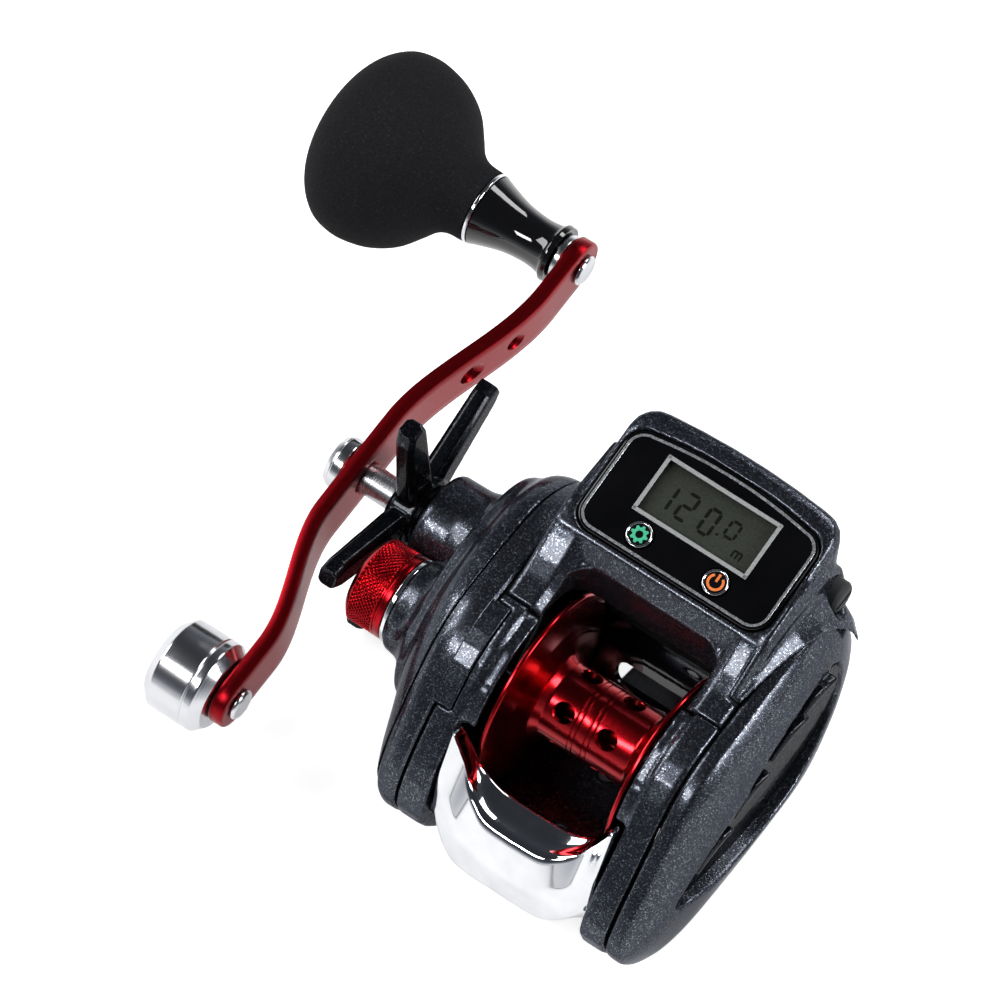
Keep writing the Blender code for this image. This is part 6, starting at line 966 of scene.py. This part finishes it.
# Nut, pins and counterweight
# These are turned from aluminium bar and polished: the domed nut that holds the arm, the two pins
# that are riveted through its ends, and the barrel that balances the knob.
KNOB_AXIS = DRIVE_AXIS + KNOB_LENGTH * ARM_ALONG
WEIGHT_AXIS = DRIVE_AXIS - WEIGHT_LENGTH * ARM_ALONG
NUT = ((-61.05, 0), (-61.05, 2.8), (-58.6, 2.8), (-58.6, 4.3), (-58.8, 4.5), (-60.35, 4.5), (-60.5, 4.38),
       (-60.62, 4.42), (-61.5, 3.9), (-61.85, 3.1), (-62.0, 2.3), (-62.0, 0))
BARREL = ((-61.5, 0), (-61.5, 1.7), (-52.4, 1.7), (-52.4, 6.2), (-53.9, 7.68), (-54.1, 7.75), (-55.3, 7.75),
          (-55.42, 7.6), (-55.58, 7.6), (-55.7, 7.75), (-61.3, 7.75), (-61.5, 7.68), (-63.0, 6.25),
          (-63.1, 6.1), (-63.1, 5.2), (-62.95, 5.0), (-62.95, 0))


def pin(head, end):
    """A pin's profile: a low rounded head and a straight shank."""
    return ((head + 1.0, 0), (head + 0.95, 1.5), (head + 0.7, 2.3), (head + 0.35, 2.6), (head, 2.6),
            (head, 1.5), (end, 1.5), (end, 0))


nut_metal = bar_stock("aluminium_polished_nut", "#d3d4d6", 0.16, DRIVE_AXIS, 0.22, 0.12)
weight_metal = bar_stock("aluminium_polished_weight", "#cfd0d3", 0.17, WEIGHT_AXIS, 0.25, 0.16)
knob_metal = bar_stock("aluminium_polished_knob", "#cfd0d3", 0.18, KNOB_AXIS, 0.22, 0.12)
lathed("domed_handle_nut", "handle_nut", NUT, DRIVE_AXIS, 72, 0.12, nut_metal)
lathed("turned_counterweight", "counterweight", BARREL, WEIGHT_AXIS, 112, 0.12, weight_metal)
lathed("riveted_weight_pin", "counterweight_pin", pin(-49.4, -61.3), WEIGHT_AXIS, 48, 0.15, weight_metal)
lathed("riveted_knob_pin", "knob_pin", pin(-49.2, -76.98), KNOB_AXIS, 48, 0.15, knob_metal)

# Power knob
# The knob spins on its pin. A gloss collar and a plated ring carry a round grip that is ground
# from closed-cell foam, a soft black that shows pale grains where cells were cut.
COLLAR = ((0, 0.80), (0.07, 0.82), (0.12, 0.72), (0.32, 0.66), (0.60, 0.72), (0.85, 0.88), (1, 1))
COLLAR_START, COLLAR_LENGTH, COLLAR_RADIUS, PIN_BORE = -53.6, 13.8, 6.0, 1.7
KNOB_RING = ((-67.6, 1.7), (-67.6, 6.1), (-67.7, 6.2), (-68.1, 6.2), (-68.2, 6.1), (-68.2, 1.7))
KNOB_BEARING = ((-52.2, 1.7), (-52.2, 3.85), (-52.35, 4.0), (-53.25, 4.0), (-53.4, 3.85), (-53.4, 1.7))
GRIP = ((0, 0.385), (0.10, 0.40), (0.17, 0.47), (0.24, 0.62), (0.33, 0.80), (0.45, 0.93), (0.57, 0.99),
        (0.67, 1), (0.78, 0.95), (0.88, 0.80), (0.95, 0.58), (0.99, 0.30))
GRIP_START, GRIP_LENGTH, GRIP_RADIUS = -68.4, 28.6, 16.0
GRIP_CORE = ((-77.18, 0), (-77.18, PIN_BORE), (GRIP_START, PIN_BORE), (GRIP_START, 5.9))
GRIP_TIP = ((-96.85, 3.4), (-97.0, 2.0), (-97.0, 0))
CELL_MM, HAZE_MM = 0.42, 0.35

foam, tree, shader, place = material("closed_cell_foam_black", "#1a1a1c", 0.85, 0.0, Specular_IOR_Level=0.06)
cells = node(tree, "TexVoronoi", {"Scale": 1000 / CELL_MM}, {"Vector": place}).outputs["Distance"]
haze = node(tree, "TexNoise", {"Scale": 1000 / HAZE_MM, "Detail": 5.0, "Roughness": 0.7}, {"Vector": place})
tone = node(tree, "ValToRGB", {}, {0: haze},
            ((0.30, "#151517"), (0.58, "#1e1e20"), (0.68, "#2c2c2f"), (0.78, "#6a6a6c")))
pits = node(tree, "Bump", {"Strength": 0.35, "Distance": 0.0002}, {"Height": cells})
fine = node(tree, "Bump", {"Strength": 0.30, "Distance": 0.0001}, {"Height": haze, "Normal": pits})
feed(shader, {"Base Color": tone, "Normal": fine})

flare = spline(np.array(COLLAR) * (-COLLAR_LENGTH, COLLAR_RADIUS) + (COLLAR_START, 0), 6, closed=False)
flare = np.vstack([[(COLLAR_START, PIN_BORE)], flare, [(COLLAR_START - COLLAR_LENGTH, PIN_BORE)]])
bulb = spline(np.array(GRIP) * (-GRIP_LENGTH, GRIP_RADIUS) + (GRIP_START, 0), 7, closed=False)
bulb = np.vstack([GRIP_CORE, bulb, GRIP_TIP])
lathed("flared_knob_collar", "knob_collar", flare, KNOB_AXIS, 80, 0.0, gloss_black)
lathed("knob_trim_ring", "knob_ring", KNOB_RING, KNOB_AXIS, 80, 0.05, chrome)
lathed("knob_bearing_race", "knob_bearing", KNOB_BEARING, KNOB_AXIS, 64, 0.08, knob_metal)
grip = lathed("foam_knob_grip", "knob_grip", bulb, KNOB_AXIS, 112, 0.0, foam)

# Reel foot
# The foot is stamped from stainless strip, brushed along its length, which draws its glints out
# across it, and held under the frame by two flat screws. A rod's hoods slide over its thin ends.
brushed_steel = grained("stainless_steel_brushed", "#a9abae", 0.30, 1.0, 0.10, ("#9a9c9f", "#b9bbbe"), 0.16,
                        (1, 0.06, 1))
recast("stamped_foot", "reel_foot", 0.24, 3, brushed_steel)
give(sheet_steel, "foot_screw_front", "foot_screw_rear")
